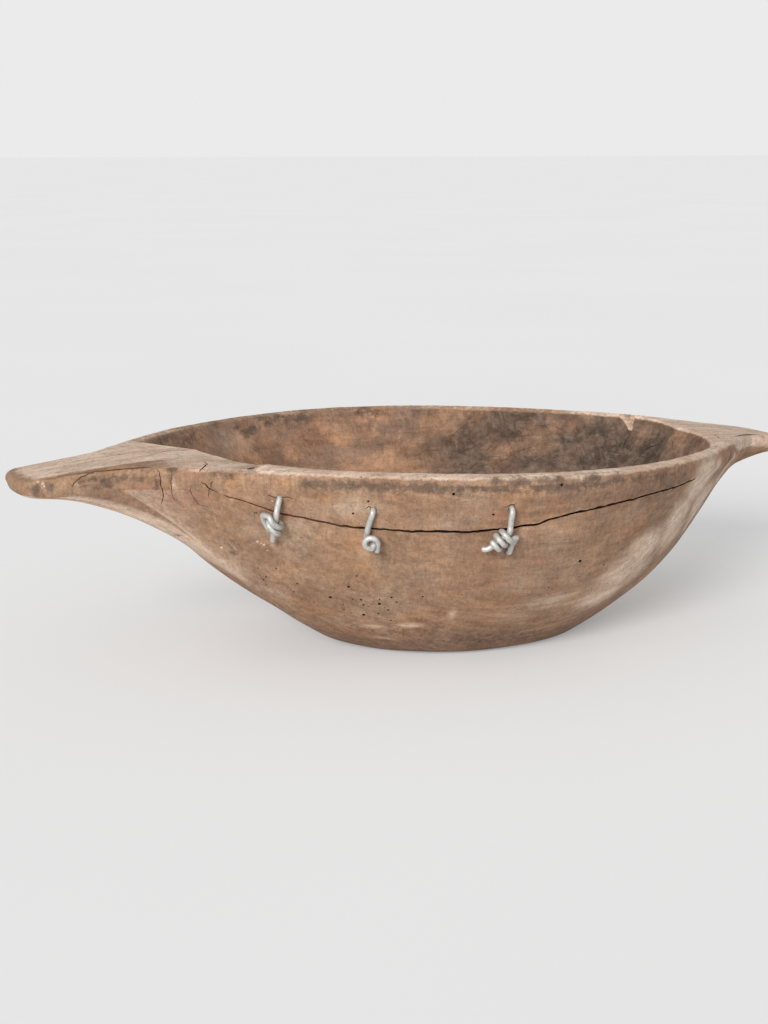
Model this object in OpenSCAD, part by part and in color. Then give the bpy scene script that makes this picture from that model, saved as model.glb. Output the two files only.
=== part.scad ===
// Carved dough bowl: one piece of wood with two solid handles, a long crack in its front wall,
// and three stitches of soft wire that hold the crack together.
// X runs along the handles, the cracked wall faces -Y, and the bowl stands on Z = 0 at the
// middle of its overall length and width.

/* [Outline from above] */
// Reach of the long handle from the middle of the hollow
long_reach = 348; // [325:1:380]
// Reach of the short handle from the middle of the hollow
short_reach = 302; // [290:1:340]
// Half width of the bowl over its rim
half_width = 179; // [170:1:200]
// Straight run of the rim beside the middle before it turns in
shoulder_run = 136; // [110:1:155]
// Place along the length where the long handle's grip begins
long_root = 287; // [272:1:300]
// Place along the length where the short handle's grip begins
short_root = 262; // [252:1:272]
// Half width of a handle where its grip begins
root_half_width = 36; // [30:1:44]
// How far the flank swings into the line of the grip
root_swing = 22; // [10:1:35]
// Half width of a handle near its tip
tip_half_width = 30; // [22:1:34]
// Length of the rounded tip of a handle
tip_length = 15; // [10:1:22]

/* [Heights] */
// Height of the rim at the middle of the bowl
rim_height = 146; // [138:1:160]
// Fall of the rim from the middle to the short handle's end of the hollow
rim_tilt = 6.7; // [0:0.1:12]
// Drop of the long handle's top from the rim to its tip
long_drop = 13.5; // [6:0.5:22]
// Drop of the short handle's top from the rim to its tip
short_drop = 8; // [2:1:16]
// Height of the upright band that runs round under the rim and the handles
band_height = 14; // [11:0.5:18]
// Radius of the worn outer edge of the rim
edge_radius = 5; // [3:0.25:7]

/* [Base] */
// Half length of the flat that the bowl stands on
base_half_length = 96; // [86:1:108]
// Half width of the flat that the bowl stands on
base_half_width = 94; // [84:1:102]
// Shift of the flat from under the middle of the hollow towards the long handle
base_shift = 6; // [0:1:12]

/* [Hollow] */
// Half length of the hollow at the rim, along the bowl's middle
hollow_half_length = 209; // [200:1:216]
// Width of the hollow's front half at the rim
hollow_half_width = 160; // [150:1:163]
// Width of the rim behind, where the hollow follows the outline
back_rim_width = 11; // [9.5:0.5:14]
// Thickness of wood under the floor of the hollow
floor_thickness = 18; // [13:0.5:24]
// Radius of the worn inner edge of the rim
inner_edge_radius = 3; // [2:0.25:4]

/* [Crack] */
// Width of the crack where it gapes most
crack_gap = 1.2; // [0.7:0.1:1.8]
// Width of the crack at its two ends
crack_end_gap = 0.3; // [0.2:0.05:0.5]
// Greatest depth of the crack under the rim
crack_depth = 41; // [36:1:46]

/* [Wire stitches] */
// Diameter of the wire
wire_diameter = 3.9; // [3.4:0.1:4.4]
// Room round the wire in its holes
hole_clearance = 0.35; // [0.25:0.05:0.6]
// Room between the wire's surface and the wood that it lies along
seat_gap = 0.5; // [0.4:0.05:0.8]
// Room between neighbouring turns of a knot
turn_gap = 0.55; // [0.5:0.05:0.8]
// Turns of the left knot
left_turns = 2; // [1:1:2]
// Turns of the right knot
right_turns = 3; // [2:1:3]

/* [Hidden] */

// The hollow's middle lies this far from the middle of the overall length
hollow_shift = (long_reach - short_reach) / 2;

// Steps on a quarter of the outline: along the flank, along the grip and round the tip
flank_steps = 22;
grip_steps = 4;
tip_steps = 5;
quarter_steps = flank_steps + grip_steps + tip_steps;
columns = 4 * quarter_steps;

// Steps up the outer wall below and above the crack, and down the inner wall
lower_steps = 8;
upper_steps = 4;
edge_steps = 3;
brim_steps = 3;
inner_upper_steps = 3;
inner_lower_steps = 5;
floor_steps = 3;

// Directions in which the ovals of base and hollow are cut, at the grip's two ends
root_angle = 34;
grip_angle = 12;

// Roundness of the ovals and of the handle's tip: two is an ellipse
base_roundness = 2.3;
hollow_roundness = 2;
short_end_roundness = 2.12;
// Back half of the hollow: the share of the flank along which it follows the outline, then the pull
// of the two ends of the curve that turns in to the long axis, and that curve's lean out from it
back_follow_share = 0.7;
back_turn_shares = [0.03, 0.17];
back_lean = 27;
tip_roundness = 2.5;

// Control places of the outer wall, as shares of its run out and of its height
flank_shares = [[0, 0], [0.75, 0.325], [0.745, 0.67], [1, 1]];
handle_shares = [[0, 0], [0.16, 0], [0.55, 1], [1, 1]];
// Direction from the long axis beyond which the wall has the flank's profile alone
handle_spread = 60;

// Control places of the inner wall, as shares of the hollow's run out and of its depth
inner_shares = [[1, 1], [0.88, 0.62], [0.66, 0.1], [0.36, 0]];
// Dish of the floor, as a share of the floor's thickness
floor_dish_share = 0.12;

// Where the handles begin to drop, as a share of the hollow's half length
drop_start_share = 0.94;
// How sharply the handles drop towards their tips
drop_power = 1.5;

// Ends of the crack, in steps of the outline from the middle of the front
crack_start = -14;
crack_end = 8;
// Depth of the crack under the rim along its run, as shares of its greatest depth
crack_depth_shares = [
    [-1, 0.48], [-0.93, 0.62], [-0.85, 0.78], [-0.77, 0.86], [-0.68, 0.95], [-0.5, 1], [-0.3, 1],
    [-0.2, 0.94], [-0.1, 0.87], [-0.05, 0.79], [0, 0.72], [0.25, 0.62], [0.5, 0.54], [0.75, 0.49], [1, 0.44]
];
// How fast the crack opens from its ends
crack_opening_power = 0.6;

// Small step for slopes of the surfaces, and halvings of a search
slope_step = 0.01;
halvings = 24;

function mix(low, high, share) = low + (high - low) * share;
function clamp(value) = min(max(value, 0), 1);
function eased(share) = share * share * (3 - 2 * share);
function unit(vector) = vector / norm(vector);

// Point of a cubic curve with four control places
function cubic(places, share) =
    let (rest = 1 - share)
    places[0] * rest * rest * rest
    + places[1] * 3 * share * rest * rest
    + places[2] * 3 * share * share * rest
    + places[3] * share * share * share;

// Outline of one quarter at a station: 0 beside the middle, quarter_steps at the handle's tip
function reach_at(station) = station < 0 ? long_reach : short_reach;
function root_at(station) = station < 0 ? long_root : short_root;

function quarter_outline(station) =
    let (
        steps = abs(station),
        reach = reach_at(station),
        root = [root_at(station), root_half_width],
        tip_corner = [reach - tip_length, tip_half_width],
        grip_line = unit(root - tip_corner),
        flank = [[0, half_width], [shoulder_run, half_width], root + grip_line * root_swing, root],
        tip_turn = 90 * (steps - flank_steps - grip_steps) / tip_steps
    )
    steps <= flank_steps ? cubic(flank, steps / flank_steps)
    : steps <= flank_steps + grip_steps ? mix(root, tip_corner, (steps - flank_steps) / grip_steps)
    : [
        tip_corner.x + tip_length * pow(sin(tip_turn), 2 / tip_roundness),
        tip_half_width * pow(max(cos(tip_turn), 0), 2 / tip_roundness)
    ];

// Direction from the long axis in which a station cuts the ovals
function oval_angle(station) =
    let (steps = abs(station))
    steps <= flank_steps ? mix(90, root_angle, steps / flank_steps)
    : steps <= flank_steps + grip_steps ? mix(root_angle, grip_angle, (steps - flank_steps) / grip_steps)
    : mix(grip_angle, 0, (steps - flank_steps - grip_steps) / tip_steps);

function oval(half_length, half_breadth, roundness, angle) = [
    half_length * pow(max(cos(angle), 0), 2 / roundness),
    half_breadth * pow(max(sin(angle), 0), 2 / roundness)
];

// A quarter's place brought to its end of the bowl (sign of the station) and its side (-1 front, 1 back)
function placed(place, station, side) = [station < 0 ? -place.x : place.x, side * place.y];

function outline(station, side) = placed(quarter_outline(station), station, side);
function base_oval(station, side) =
    placed(oval(base_half_length, base_half_width, base_roundness, oval_angle(station)), station, side)
    - [base_shift, 0];

// Direction of the outline away from the middle, and the line that runs beside it within the rim
function outline_way(station) =
    let (ahead = station + (station < 0 ? -slope_step : slope_step))
    unit(quarter_outline(ahead) - quarter_outline(station));

function within_rim(station) =
    let (way = outline_way(station))
    quarter_outline(station) + [way.y, -way.x] * back_rim_width;

function back_hollow(station) =
    let (
        follow_steps = flank_steps * back_follow_share,
        corner = station < 0 ? -follow_steps : follow_steps,
        start = within_rim(corner),
        end = [hollow_half_length, 0],
        turn = [
            start,
            start + outline_way(corner) * hollow_half_length * back_turn_shares[0],
            end + [sin(back_lean), cos(back_lean)] * hollow_half_length * back_turn_shares[1],
            end
        ]
    )
    abs(station) <= follow_steps ? within_rim(station)
    : cubic(turn, (abs(station) - follow_steps) / (quarter_steps - follow_steps));

function front_hollow(station) =
    let (roundness = station < 0 ? hollow_roundness : short_end_roundness)
    oval(hollow_half_length, hollow_half_width, roundness, oval_angle(station));

// Edge of the hollow at the rim
function hollow_edge(station, side) =
    placed(side < 0 ? front_hollow(station) : back_hollow(station), station, side);

// Height of the rim and of the handles' tops over a place along the length
function top_height(x) =
    let (
        reach = x < 0 ? long_reach : short_reach,
        drop = x < 0 ? long_drop : short_drop,
        start = hollow_half_length * drop_start_share,
        along = clamp((abs(x) - start) / (reach - start))
    )
    rim_height - rim_tilt * x / hollow_half_length - drop * pow(along, drop_power);

// Outer wall, from the base at share 0 to the foot of the upright band at share 1
function wall_shares(station, share) =
    let (weight = 1 - eased(clamp(oval_angle(station) / handle_spread)))
    cubic([for (k = [0:3]) mix(flank_shares[k], handle_shares[k], weight)], share);

function outer_wall(station, side, share) =
    let (
        foot = base_oval(station, side),
        rim = outline(station, side),
        shares = wall_shares(station, share),
        place = mix(foot, rim, shares[0])
    )
    [place.x, place.y, (top_height(rim.x) - band_height) * shares[1]];

// Share of a rising height curve at which it reaches a height, found by halving
function search(goal, height_at, low = 0, high = 1, left = halvings) =
    let (middle = (low + high) / 2)
    left == 0 ? middle
    : height_at(middle) < goal ? search(goal, height_at, middle, high, left - 1)
    : search(goal, height_at, low, middle, left - 1);

function outer_share(station, height) =
    search(height, function (share) outer_wall(station, -1, share).z);

// Inner wall, from the floor's edge at share 0 to the rim at share 1
function inner_run(share) = cubic(inner_shares, 1 - share);

function inner_wall(station, side, share) =
    let (
        rim = hollow_edge(station, side),
        run = inner_run(share),
        place = rim * run[0]
    )
    [place.x, place.y, mix(floor_thickness, top_height(rim.x), run[1])];

function inner_share(station, side, height) =
    search(height, function (share) inner_wall(station, side, share).z);

// Height of the crack's middle line and its gape at a station
function crack_height(station) =
    let (along = station < 0 ? -station / crack_start : station / crack_end)
    top_height(outline(station, -1).x) - crack_depth * lookup(min(max(along, -1), 1), crack_depth_shares);

function crack_width(station) =
    let (
        along = (station - crack_start) / (crack_end - crack_start),
        opening = along <= 0 || along >= 1 ? 0 : pow(sin(180 * along), crack_opening_power)
    )
    mix(crack_end_gap, crack_gap, opening);

// Rows of the bowl's skin, each once round the outline: up the outer wall to the crack, from the
// crack to the band, over the rim, down the inner wall past the crack, and across the floor
stations = [
    for (k = [-quarter_steps:quarter_steps]) [k, -1],
    for (k = [quarter_steps - 1:-1:-quarter_steps + 1]) [k, 1]
];

function crack_lip(station, way) = crack_height(station) + way * crack_width(station) / 2;

lower_lip_shares = [for (s = stations) outer_share(s[0], crack_lip(s[0], -1))];
upper_lip_shares = [for (s = stations) outer_share(s[0], crack_lip(s[0], 1))];
inner_lower_lip_shares = [for (s = stations) inner_share(s[0], s[1], crack_lip(s[0], -1))];
inner_upper_lip_shares = [for (s = stations) inner_share(s[0], s[1], crack_lip(s[0], 1))];

plan = [for (s = stations) outline(s[0], s[1])];
hollow_plan = [for (s = stations) hollow_edge(s[0], s[1])];
inward = [
    for (k = [0:columns - 1])
        let (along = plan[(k + 1) % columns] - plan[(k + columns - 1) % columns])
        unit([-along.y, along.x])
];

function over_rim(place) = [place.x, place.y, top_height(place.x)];

// Worn outer edge: a quarter round from the band's face to the top
function outer_edge_row(turn) = [
    for (k = [0:columns - 1])
        let (place = plan[k] + inward[k] * edge_radius * (1 - cos(turn)))
        [place.x, place.y, top_height(place.x) - edge_radius * (1 - sin(turn))]
];

// Top of rim and handles, from the outer edge to the inner one
function brim_row(share) = [
    for (k = [0:columns - 1])
        over_rim(mix(
            plan[k] + inward[k] * edge_radius,
            hollow_plan[k] + unit(hollow_plan[k]) * inner_edge_radius,
            share
        ))
];

function outer_row(shares) =
    [for (k = [0:columns - 1]) outer_wall(stations[k][0], stations[k][1], shares[k])];

function inner_row(shares) =
    [for (k = [0:columns - 1]) inner_wall(stations[k][0], stations[k][1], shares[k])];

// The inner wall starts below the worn edge
inner_start_shares = [
    for (s = stations)
        inner_share(s[0], s[1], top_height(hollow_edge(s[0], s[1]).x) - inner_edge_radius)
];

function floor_row(share) = [
    for (k = [0:columns - 1])
        let (edge = inner_wall(stations[k][0], stations[k][1], 0))
        [edge.x * share, edge.y * share, floor_thickness * (1 - floor_dish_share * (1 - share * share))]
];

function mixed(low, high, share) = [for (k = [0:columns - 1]) mix(low[k], high[k], share)];
ones = [for (k = [1:columns]) 1];

rows = concat(
    [for (k = [0:lower_steps]) outer_row(lower_lip_shares * k / lower_steps)],
    [for (k = [0:upper_steps]) outer_row(mixed(upper_lip_shares, ones, k / upper_steps))],
    [for (k = [0:edge_steps]) outer_edge_row(90 * k / edge_steps)],
    [for (k = [1:brim_steps]) brim_row(k / brim_steps)],
    [for (k = [0:inner_upper_steps])
        inner_row(mixed(inner_start_shares, inner_upper_lip_shares, k / inner_upper_steps))],
    [for (k = [0:inner_lower_steps]) inner_row(inner_lower_lip_shares * (1 - k / inner_lower_steps))],
    [for (k = [1:floor_steps - 1]) floor_row(1 - k / floor_steps)]
);

// Rows that border the crack, counted from the base
outer_lower_lip = lower_steps;
outer_upper_lip = outer_lower_lip + 1;
inner_upper_lip = outer_upper_lip + upper_steps + edge_steps + 1 + brim_steps + 1 + inner_upper_steps;
inner_lower_lip = inner_upper_lip + 1;

// Columns between which the crack gapes
first_gap = crack_start + quarter_steps;
last_gap = crack_end + quarter_steps;

row_count = len(rows);
base_centre = row_count * columns;
floor_centre = base_centre + 1;

function corner(row, column) = row * columns + column % columns;
function split(quad) = [[quad[0], quad[1], quad[2]], [quad[0], quad[2], quad[3]]];
function gapes(row, column) =
    (row == outer_lower_lip || row == inner_upper_lip) && column >= first_gap && column < last_gap;

skin_faces = [
    for (row = [0:row_count - 2], column = [0:columns - 1])
        if (!gapes(row, column))
            each split([
                corner(row, column), corner(row + 1, column),
                corner(row + 1, column + 1), corner(row, column + 1)
            ]),
    for (column = [0:columns - 1]) [base_centre, corner(0, column), corner(0, column + 1)],
    for (column = [0:columns - 1])
        [floor_centre, corner(row_count - 1, column + 1), corner(row_count - 1, column)]
];

crack_faces = [
    for (column = [first_gap:last_gap - 1])
        each concat(
            split([
                corner(outer_lower_lip, column), corner(inner_lower_lip, column),
                corner(inner_lower_lip, column + 1), corner(outer_lower_lip, column + 1)
            ]),
            split([
                corner(outer_upper_lip, column + 1), corner(inner_upper_lip, column + 1),
                corner(inner_upper_lip, column), corner(outer_upper_lip, column)
            ])
        ),
    each split([
        corner(outer_lower_lip, first_gap), corner(outer_upper_lip, first_gap),
        corner(inner_upper_lip, first_gap), corner(inner_lower_lip, first_gap)
    ]),
    each split([
        corner(outer_lower_lip, last_gap), corner(inner_lower_lip, last_gap),
        corner(inner_upper_lip, last_gap), corner(outer_upper_lip, last_gap)
    ])
];

module carved_shell() {
    polyhedron(
        points = concat(
            [for (row = rows) each row],
            [[-base_shift, 0, 0], [0, 0, floor_thickness * (1 - floor_dish_share)]]
        ),
        faces = concat(skin_faces, crack_faces),
        convexity = 8
    );
}

// Each stitch is one wire. Its strand runs from the free end, under or through the knot, over the
// crack to the upper hole; the wire goes on inside the bowl to the lower hole, and its leg rises
// from there to the turns. Places are [along the wall, up the wall, off the wall], counted in
// knot units from where the strand crosses the crack.
knot_unit = wire_diameter + turn_gap;
wire_radius = wire_diameter / 2;
lift = wire_radius + seat_gap;

left_station = -12;
left_holes_shares = [[0.48, 2.7], [-1.45, -3.2]];
left_strand_shares = [
    [-1.15, -4.6, 0.6], [-0.9, -3.6, 0.85], [-0.65, -2.7, 1], [-0.45, -1.9, 1], [-0.27, -1.1, 1],
    [-0.07, -0.2, 1], [0.08, 0.7, 0.95], [0.25, 1.7, 0.4]
];
left_leg_shares = [
    [-2.05, -1.9, 0], [-2.3, -1, 0], [-2.36, -0.3, 0.05], [-1.95, 0.2, 0.55]
];
// First turn's middle, the way in which the turns follow the strand, and their pitch
left_turns_start_shares = [-0.12, -0.45];
left_turns_way_shares = [-0.22, -1];
left_turns_pitch = 1.25;
// How far a turn falls from one side of the strand to the other, and the side it starts from
left_turns_lean = 0.3;
left_turns_side = 1;

middle_station = -8.4;
middle_holes_shares = [[0.76, 3.4], [0.72, -2.35]];
middle_strand_shares = [
    [-0.16, -1.55, 0], [-0.14, -0.9, 0], [0.04, 0.45, 0], [0.3, 1.5, 0]
];
middle_leg_shares = [
    [1.34, -3.1, 0.1], [1.5, -3.22, 0.5], [1.54, -3, 0.92], [1.6, -2.45, 1]
];
middle_ring_centre_shares = [0.62, -1.75];
middle_ring_start = -8;
middle_ring_end = 262;

right_station = -2.6;
right_holes_shares = [[-0.22, 3.6], [0.42, -4.3]];
right_strand_shares = [
    [-4.5, -2.85, 0.7], [-3.8, -2.8, 0.95], [-3.1, -2.35, 1], [-2.3, -1.62, 1], [-1.5, -0.92, 1],
    [-0.75, -0.26, 1], [-0.45, 0.5, 0.9], [-0.33, 1.5, 0.4]
];
right_leg_shares = [
    [0.45, -3.4, 0], [0.6, -2.5, 0.1], [0.8, -1.6, 0.4], [0.75, -0.85, 0.85]
];
right_turns_start_shares = [-0.85, -0.35];
right_turns_way_shares = [-0.75, -0.66];
right_turns_pitch = 1.12;
right_turns_lean = -0.35;
right_turns_side = -1;

// Turns start and stop beside the strand, and have this many rings to a whole turn
turn_lead = 75;
turn_rings = 16;

// Steps between two places of a strand, and round a bend
strand_steps = 3;
bend_steps = 4;
tube_sides = 8;
// Handle length that makes a cubic curve follow a quarter of a circle
quarter_circle_share = 0.5523;
// How far the inner span stands off the wood, next to the outer one
inner_stand_share = 1.5;

// Frame of the front wall where a stitch crosses the crack
function front_wall(station, share) = outer_wall(station, -1, share);
function wall_slope_along(station, share) =
    (front_wall(station + slope_step, share) - front_wall(station - slope_step, share)) / (2 * slope_step);
function wall_slope_up(station, share) =
    (front_wall(station, share + slope_step) - front_wall(station, share - slope_step)) / (2 * slope_step);
function wall_normal(station, share) =
    unit(cross(wall_slope_along(station, share), wall_slope_up(station, share)));

function frame_at(station) =
    let (
        share = outer_share(station, crack_height(station)),
        along = wall_slope_along(station, share),
        up = wall_slope_up(station, share),
        across = unit(along),
        rise = cross(wall_normal(station, share), across)
    )
    [station, share, norm(along), up * across, up * rise];

// Station and share of a place in a frame, and the place itself
function wall_address(frame, place) =
    let (share_step = place.y * knot_unit / frame[4])
    [frame[0] + (place.x * knot_unit - frame[3] * share_step) / frame[2], frame[1] + share_step];

function on_wall(frame, place) =
    let (address = wall_address(frame, place))
    front_wall(address[0], address[1])
    + wall_normal(address[0], address[1]) * (lift + place.z * knot_unit);

// Run of a point in front, at the long handle's end, as a share of the rim's run in its direction
function hollow_run(point) = pow(
    pow(abs(point.x) / hollow_half_length, hollow_roundness)
    + pow(abs(point.y) / hollow_half_width, hollow_roundness),
    1 / hollow_roundness
);

// How far the inner wall lies outside a point, above zero once the point is in the hollow
function beyond_wood(point) =
    let (
        run = hollow_run(point),
        depth = (point.z - floor_thickness) / (top_height(point.x / run) - floor_thickness),
        share = search(depth, function (share) inner_run(share)[1])
    )
    inner_run(share)[0] - run;

// Mouth of a hole, the way out of it, and its length through the wall
function hole_at(frame, place) =
    let (
        address = wall_address(frame, place),
        mouth = front_wall(address[0], address[1]),
        out = wall_normal(address[0], address[1]),
        depth = search(0, function (depth) beyond_wood(mouth - out * depth), 0, half_width / 2)
    )
    [mouth, out, depth];

// Pull of a place's neighbours on the smooth line through it
smooth_share = 1 / 6;

// Smooth line through places, the ends included
function smooth_line(places) =
    let (last = len(places) - 1)
    [
        for (k = [0:last - 1], step = [0:strand_steps - 1])
            let (
                before = places[max(k - 1, 0)],
                start = places[k],
                end = places[k + 1],
                after = places[min(k + 2, last)]
            )
            cubic(
                [start, start + (end - before) * smooth_share, end - (after - start) * smooth_share, end],
                step / strand_steps
            ),
        places[last]
    ];

// Round bend from the start towards a corner and on to the end, without the end itself
function bend(start, corner, end) = [
    for (step = [0:bend_steps - 1])
        cubic(
            [start, mix(start, corner, quarter_circle_share), mix(end, corner, quarter_circle_share), end],
            step / bend_steps
        )
];

function flat(place) = [place.x, place.y, 0];
function toward(place, next, distance) = place + unit(next - place) * distance;

// Way of the wire through both holes: out of the upper strand, along the inside, out below
function through_holes(frame, holes, before, after) =
    let (
        upper = hole_at(frame, flat(holes[0])),
        lower = hole_at(frame, flat(holes[1])),
        upper_out = upper[0] + upper[1] * lift,
        lower_out = lower[0] + lower[1] * lift,
        upper_in = upper[0] - upper[1] * (upper[2] + lift * inner_stand_share),
        lower_in = lower[0] - lower[1] * (lower[2] + lift * inner_stand_share)
    )
    concat(
        bend(toward(upper_out, before, lift), upper_out, upper[0]),
        bend(toward(upper_in, upper[0], lift), upper_in, toward(upper_in, lower_in, lift)),
        bend(toward(lower_in, upper_in, lift), lower_in, toward(lower_in, lower[0], lift)),
        bend(lower[0], lower_out, toward(lower_out, after, lift)),
        [toward(lower_out, after, lift)]
    );

// Turns round the strand: the descent is quick in front of it and eases off behind
function turns_round(start, way, pitch, lean, side, turns) =
    let (
        first = -turn_lead,
        last = 360 * (turns - 1) + turn_lead,
        down = unit(way),
        across = [-down.y, down.x] * side + down * lean,
        count = ceil((last - first) * turn_rings / 360)
    )
    [
        for (k = [0:count])
            let (
                turn = mix(first, last, k / count),
                descent = pitch * (turn + sin(turn) * 180 / PI) / 360,
                place = start + down * descent + across * sin(turn)
            )
            [place.x, place.y, 1 + cos(turn)]
    ];

// Ring that lies over the strand
function ring_over(centre, first, last) =
    let (count = ceil((last - first) * turn_rings / 360))
    [
        for (k = [0:count])
            let (turn = mix(first, last, k / count))
            [centre.x + cos(turn), centre.y + sin(turn), 1]
    ];

function stitch_route(station, holes, strand, leg, turns) =
    let (
        frame = frame_at(station),
        strand_points = [for (place = strand) on_wall(frame, place)],
        leg_points = [for (place = leg) on_wall(frame, place)],
        turn_points = [for (place = turns) on_wall(frame, place)],
        crossing = through_holes(frame, holes, strand_points[len(strand_points) - 1], leg_points[0]),
        strand_line = smooth_line(concat(strand_points, [crossing[0]])),
        leg_line = smooth_line(concat([crossing[len(crossing) - 1]], leg_points, [turn_points[0]]))
    )
    concat(
        strand_line,
        [for (k = [1:len(crossing) - 1]) crossing[k]],
        [for (k = [1:len(leg_line) - 1]) leg_line[k]],
        [for (k = [1:len(turn_points) - 1]) turn_points[k]]
    );

left_route = stitch_route(
    left_station, left_holes_shares, left_strand_shares, left_leg_shares,
    turns_round(
        left_turns_start_shares, left_turns_way_shares, left_turns_pitch,
        left_turns_lean, left_turns_side, left_turns
    )
);
middle_route = stitch_route(
    middle_station, middle_holes_shares, middle_strand_shares, middle_leg_shares,
    ring_over(middle_ring_centre_shares, middle_ring_start, middle_ring_end)
);
right_route = stitch_route(
    right_station, right_holes_shares, right_strand_shares, right_leg_shares,
    turns_round(
        right_turns_start_shares, right_turns_way_shares, right_turns_pitch,
        right_turns_lean, right_turns_side, right_turns
    )
);

// Directions of a route and frames that follow it without twist
function route_ways(points) =
    let (last = len(points) - 1)
    [for (k = [0:last]) unit(points[min(k + 1, last)] - points[max(k - 1, 0)])];

function square_to(vector, way) = unit(vector - way * (vector * way));

function route_sides(ways) = [
    for (k = 0, side = square_to([1, 1, 1], ways[0]); k < len(ways);
        k = k + 1, side = k < len(ways) ? square_to(side, ways[k]) : side)
        side
];

module wire(points) {
    ways = route_ways(points);
    sides = route_sides(ways);
    count = len(points);
    rings = [
        for (k = [0:count - 1], step = [0:tube_sides - 1])
            let (turn = 360 * step / tube_sides)
            points[k] + (sides[k] * cos(turn) + cross(ways[k], sides[k]) * sin(turn)) * wire_radius
    ];
    first_end = count * tube_sides;
    polyhedron(
        points = concat(rings, [points[0], points[count - 1]]),
        faces = [
            for (k = [0:count - 2], step = [0:tube_sides - 1])
                let (next = (step + 1) % tube_sides, low = k * tube_sides, high = low + tube_sides)
                each split([low + step, high + step, high + next, low + next]),
            for (step = [0:tube_sides - 1])
                [first_end, step, (step + 1) % tube_sides],
            for (step = [0:tube_sides - 1])
                let (ring = (count - 1) * tube_sides)
                [first_end + 1, ring + (step + 1) % tube_sides, ring + step]
        ],
        convexity = 6
    );
}

// Length of a route up to each of its points, and the least gap between parts of the wire that
// are more than a half turn apart along it
function lengths_along(points) = [
    for (k = 0, run = 0; k < len(points);
        run = run + (k + 1 < len(points) ? norm(points[k + 1] - points[k]) : 0), k = k + 1)
        run
];

function least_gap(points) =
    let (runs = lengths_along(points), apart = PI * knot_unit / 2)
    min([
        for (k = [0:len(points) - 2], other = [k + 1:len(points) - 1])
            if (runs[other] - runs[k] > apart)
                norm(points[other] - points[k]) - wire_diameter
    ]);

module stitch(name, points) {
    echo(stitch = name, least_gap = least_gap(points), length = lengths_along(points)[len(points) - 1]);
    color("#c9c9c4")
    translate([hollow_shift, 0, 0])
    wire(points);
}

// Clean bore through the wall for a wire
overrun = lift;

module wire_hole(hole) {
    out = hole[1];
    translate(hole[0] + out * overrun)
    rotate([0, acos(-out.z), atan2(-out.y, -out.x)])
    cylinder(h = hole[2] + 2 * overrun, r = wire_radius + hole_clearance, $fn = 32);
}

module bowl() {
    color("#a5825f")
    translate([hollow_shift, 0, 0])
    difference() {
        carved_shell();
        for (k = [0, 1]) {
            wire_hole(hole_at(frame_at(left_station), flat(left_holes_shares[k])));
            wire_hole(hole_at(frame_at(middle_station), flat(middle_holes_shares[k])));
            wire_hole(hole_at(frame_at(right_station), flat(right_holes_shares[k])));
        }
    }
}

module stitch_left() {
    stitch("left", left_route);
}

module stitch_middle() {
    stitch("middle", middle_route);
}

module stitch_right() {
    stitch("right", right_route);
}

bowl();
stitch_left();
stitch_middle();
stitch_right();
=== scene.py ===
"""Old carved dough bowl with a cracked wall and three wire stitches, on a pale studio floor."""

import math
import random

import bpy
import numpy as np
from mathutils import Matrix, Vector, noise
from mathutils.bvhtree import BVHTree
from mathutils.kdtree import KDTree


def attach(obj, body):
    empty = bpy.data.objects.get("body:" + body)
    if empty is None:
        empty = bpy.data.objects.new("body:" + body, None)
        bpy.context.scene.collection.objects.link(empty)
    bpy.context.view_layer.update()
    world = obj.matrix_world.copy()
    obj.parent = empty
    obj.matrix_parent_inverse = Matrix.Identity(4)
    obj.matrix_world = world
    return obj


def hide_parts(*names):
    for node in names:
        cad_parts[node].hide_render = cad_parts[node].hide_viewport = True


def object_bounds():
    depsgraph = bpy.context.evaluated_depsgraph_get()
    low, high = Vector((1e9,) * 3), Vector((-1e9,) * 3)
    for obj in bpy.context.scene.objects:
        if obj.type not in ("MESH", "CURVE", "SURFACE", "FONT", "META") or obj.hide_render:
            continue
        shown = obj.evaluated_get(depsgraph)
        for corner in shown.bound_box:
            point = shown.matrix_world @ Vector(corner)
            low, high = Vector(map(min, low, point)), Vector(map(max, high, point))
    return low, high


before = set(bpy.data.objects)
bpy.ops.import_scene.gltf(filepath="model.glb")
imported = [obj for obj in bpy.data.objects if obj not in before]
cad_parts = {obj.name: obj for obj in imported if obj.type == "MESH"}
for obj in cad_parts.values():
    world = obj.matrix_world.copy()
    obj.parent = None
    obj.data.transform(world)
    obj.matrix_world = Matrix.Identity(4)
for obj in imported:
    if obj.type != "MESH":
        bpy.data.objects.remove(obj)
cad_low, cad_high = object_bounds()

MM = 0.001
NOISE_SEED, CHANCE_SEED = 7, 17
noise.seed_set(NOISE_SEED)

# ---- Bowl's form, in millimetres, from the middle of the hollow ----
LONG_REACH, SHORT_REACH = 348.0, 302.0
HALF_WIDTH, SHOULDER_RUN = 179.0, 136.0
LONG_ROOT, SHORT_ROOT = 287.0, 262.0
ROOT_HALF_WIDTH, ROOT_SWING = 36.0, 22.0
TIP_HALF_WIDTH, TIP_LENGTH = 30.0, 15.0
RIM_HEIGHT, RIM_TILT = 146.0, 6.7
LONG_DROP, SHORT_DROP = 13.5, 8.0
BAND_HEIGHT, EDGE_RADIUS, INNER_EDGE_RADIUS = 14.0, 5.0, 3.0
BASE_HALF_LENGTH, BASE_HALF_WIDTH, BASE_SHIFT = 96.0, 94.0, 6.0
HOLLOW_HALF_LENGTH, HOLLOW_HALF_WIDTH, BACK_RIM_WIDTH = 209.0, 160.0, 11.0
BACK_FOLLOW, BACK_PULLS, BACK_LEAN = 0.7, (0.03, 0.17), math.radians(27)
FLOOR_THICKNESS, FLOOR_DISH = 18.0, 0.12
HOLLOW_SHIFT = (LONG_REACH - SHORT_REACH) / 2
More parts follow.
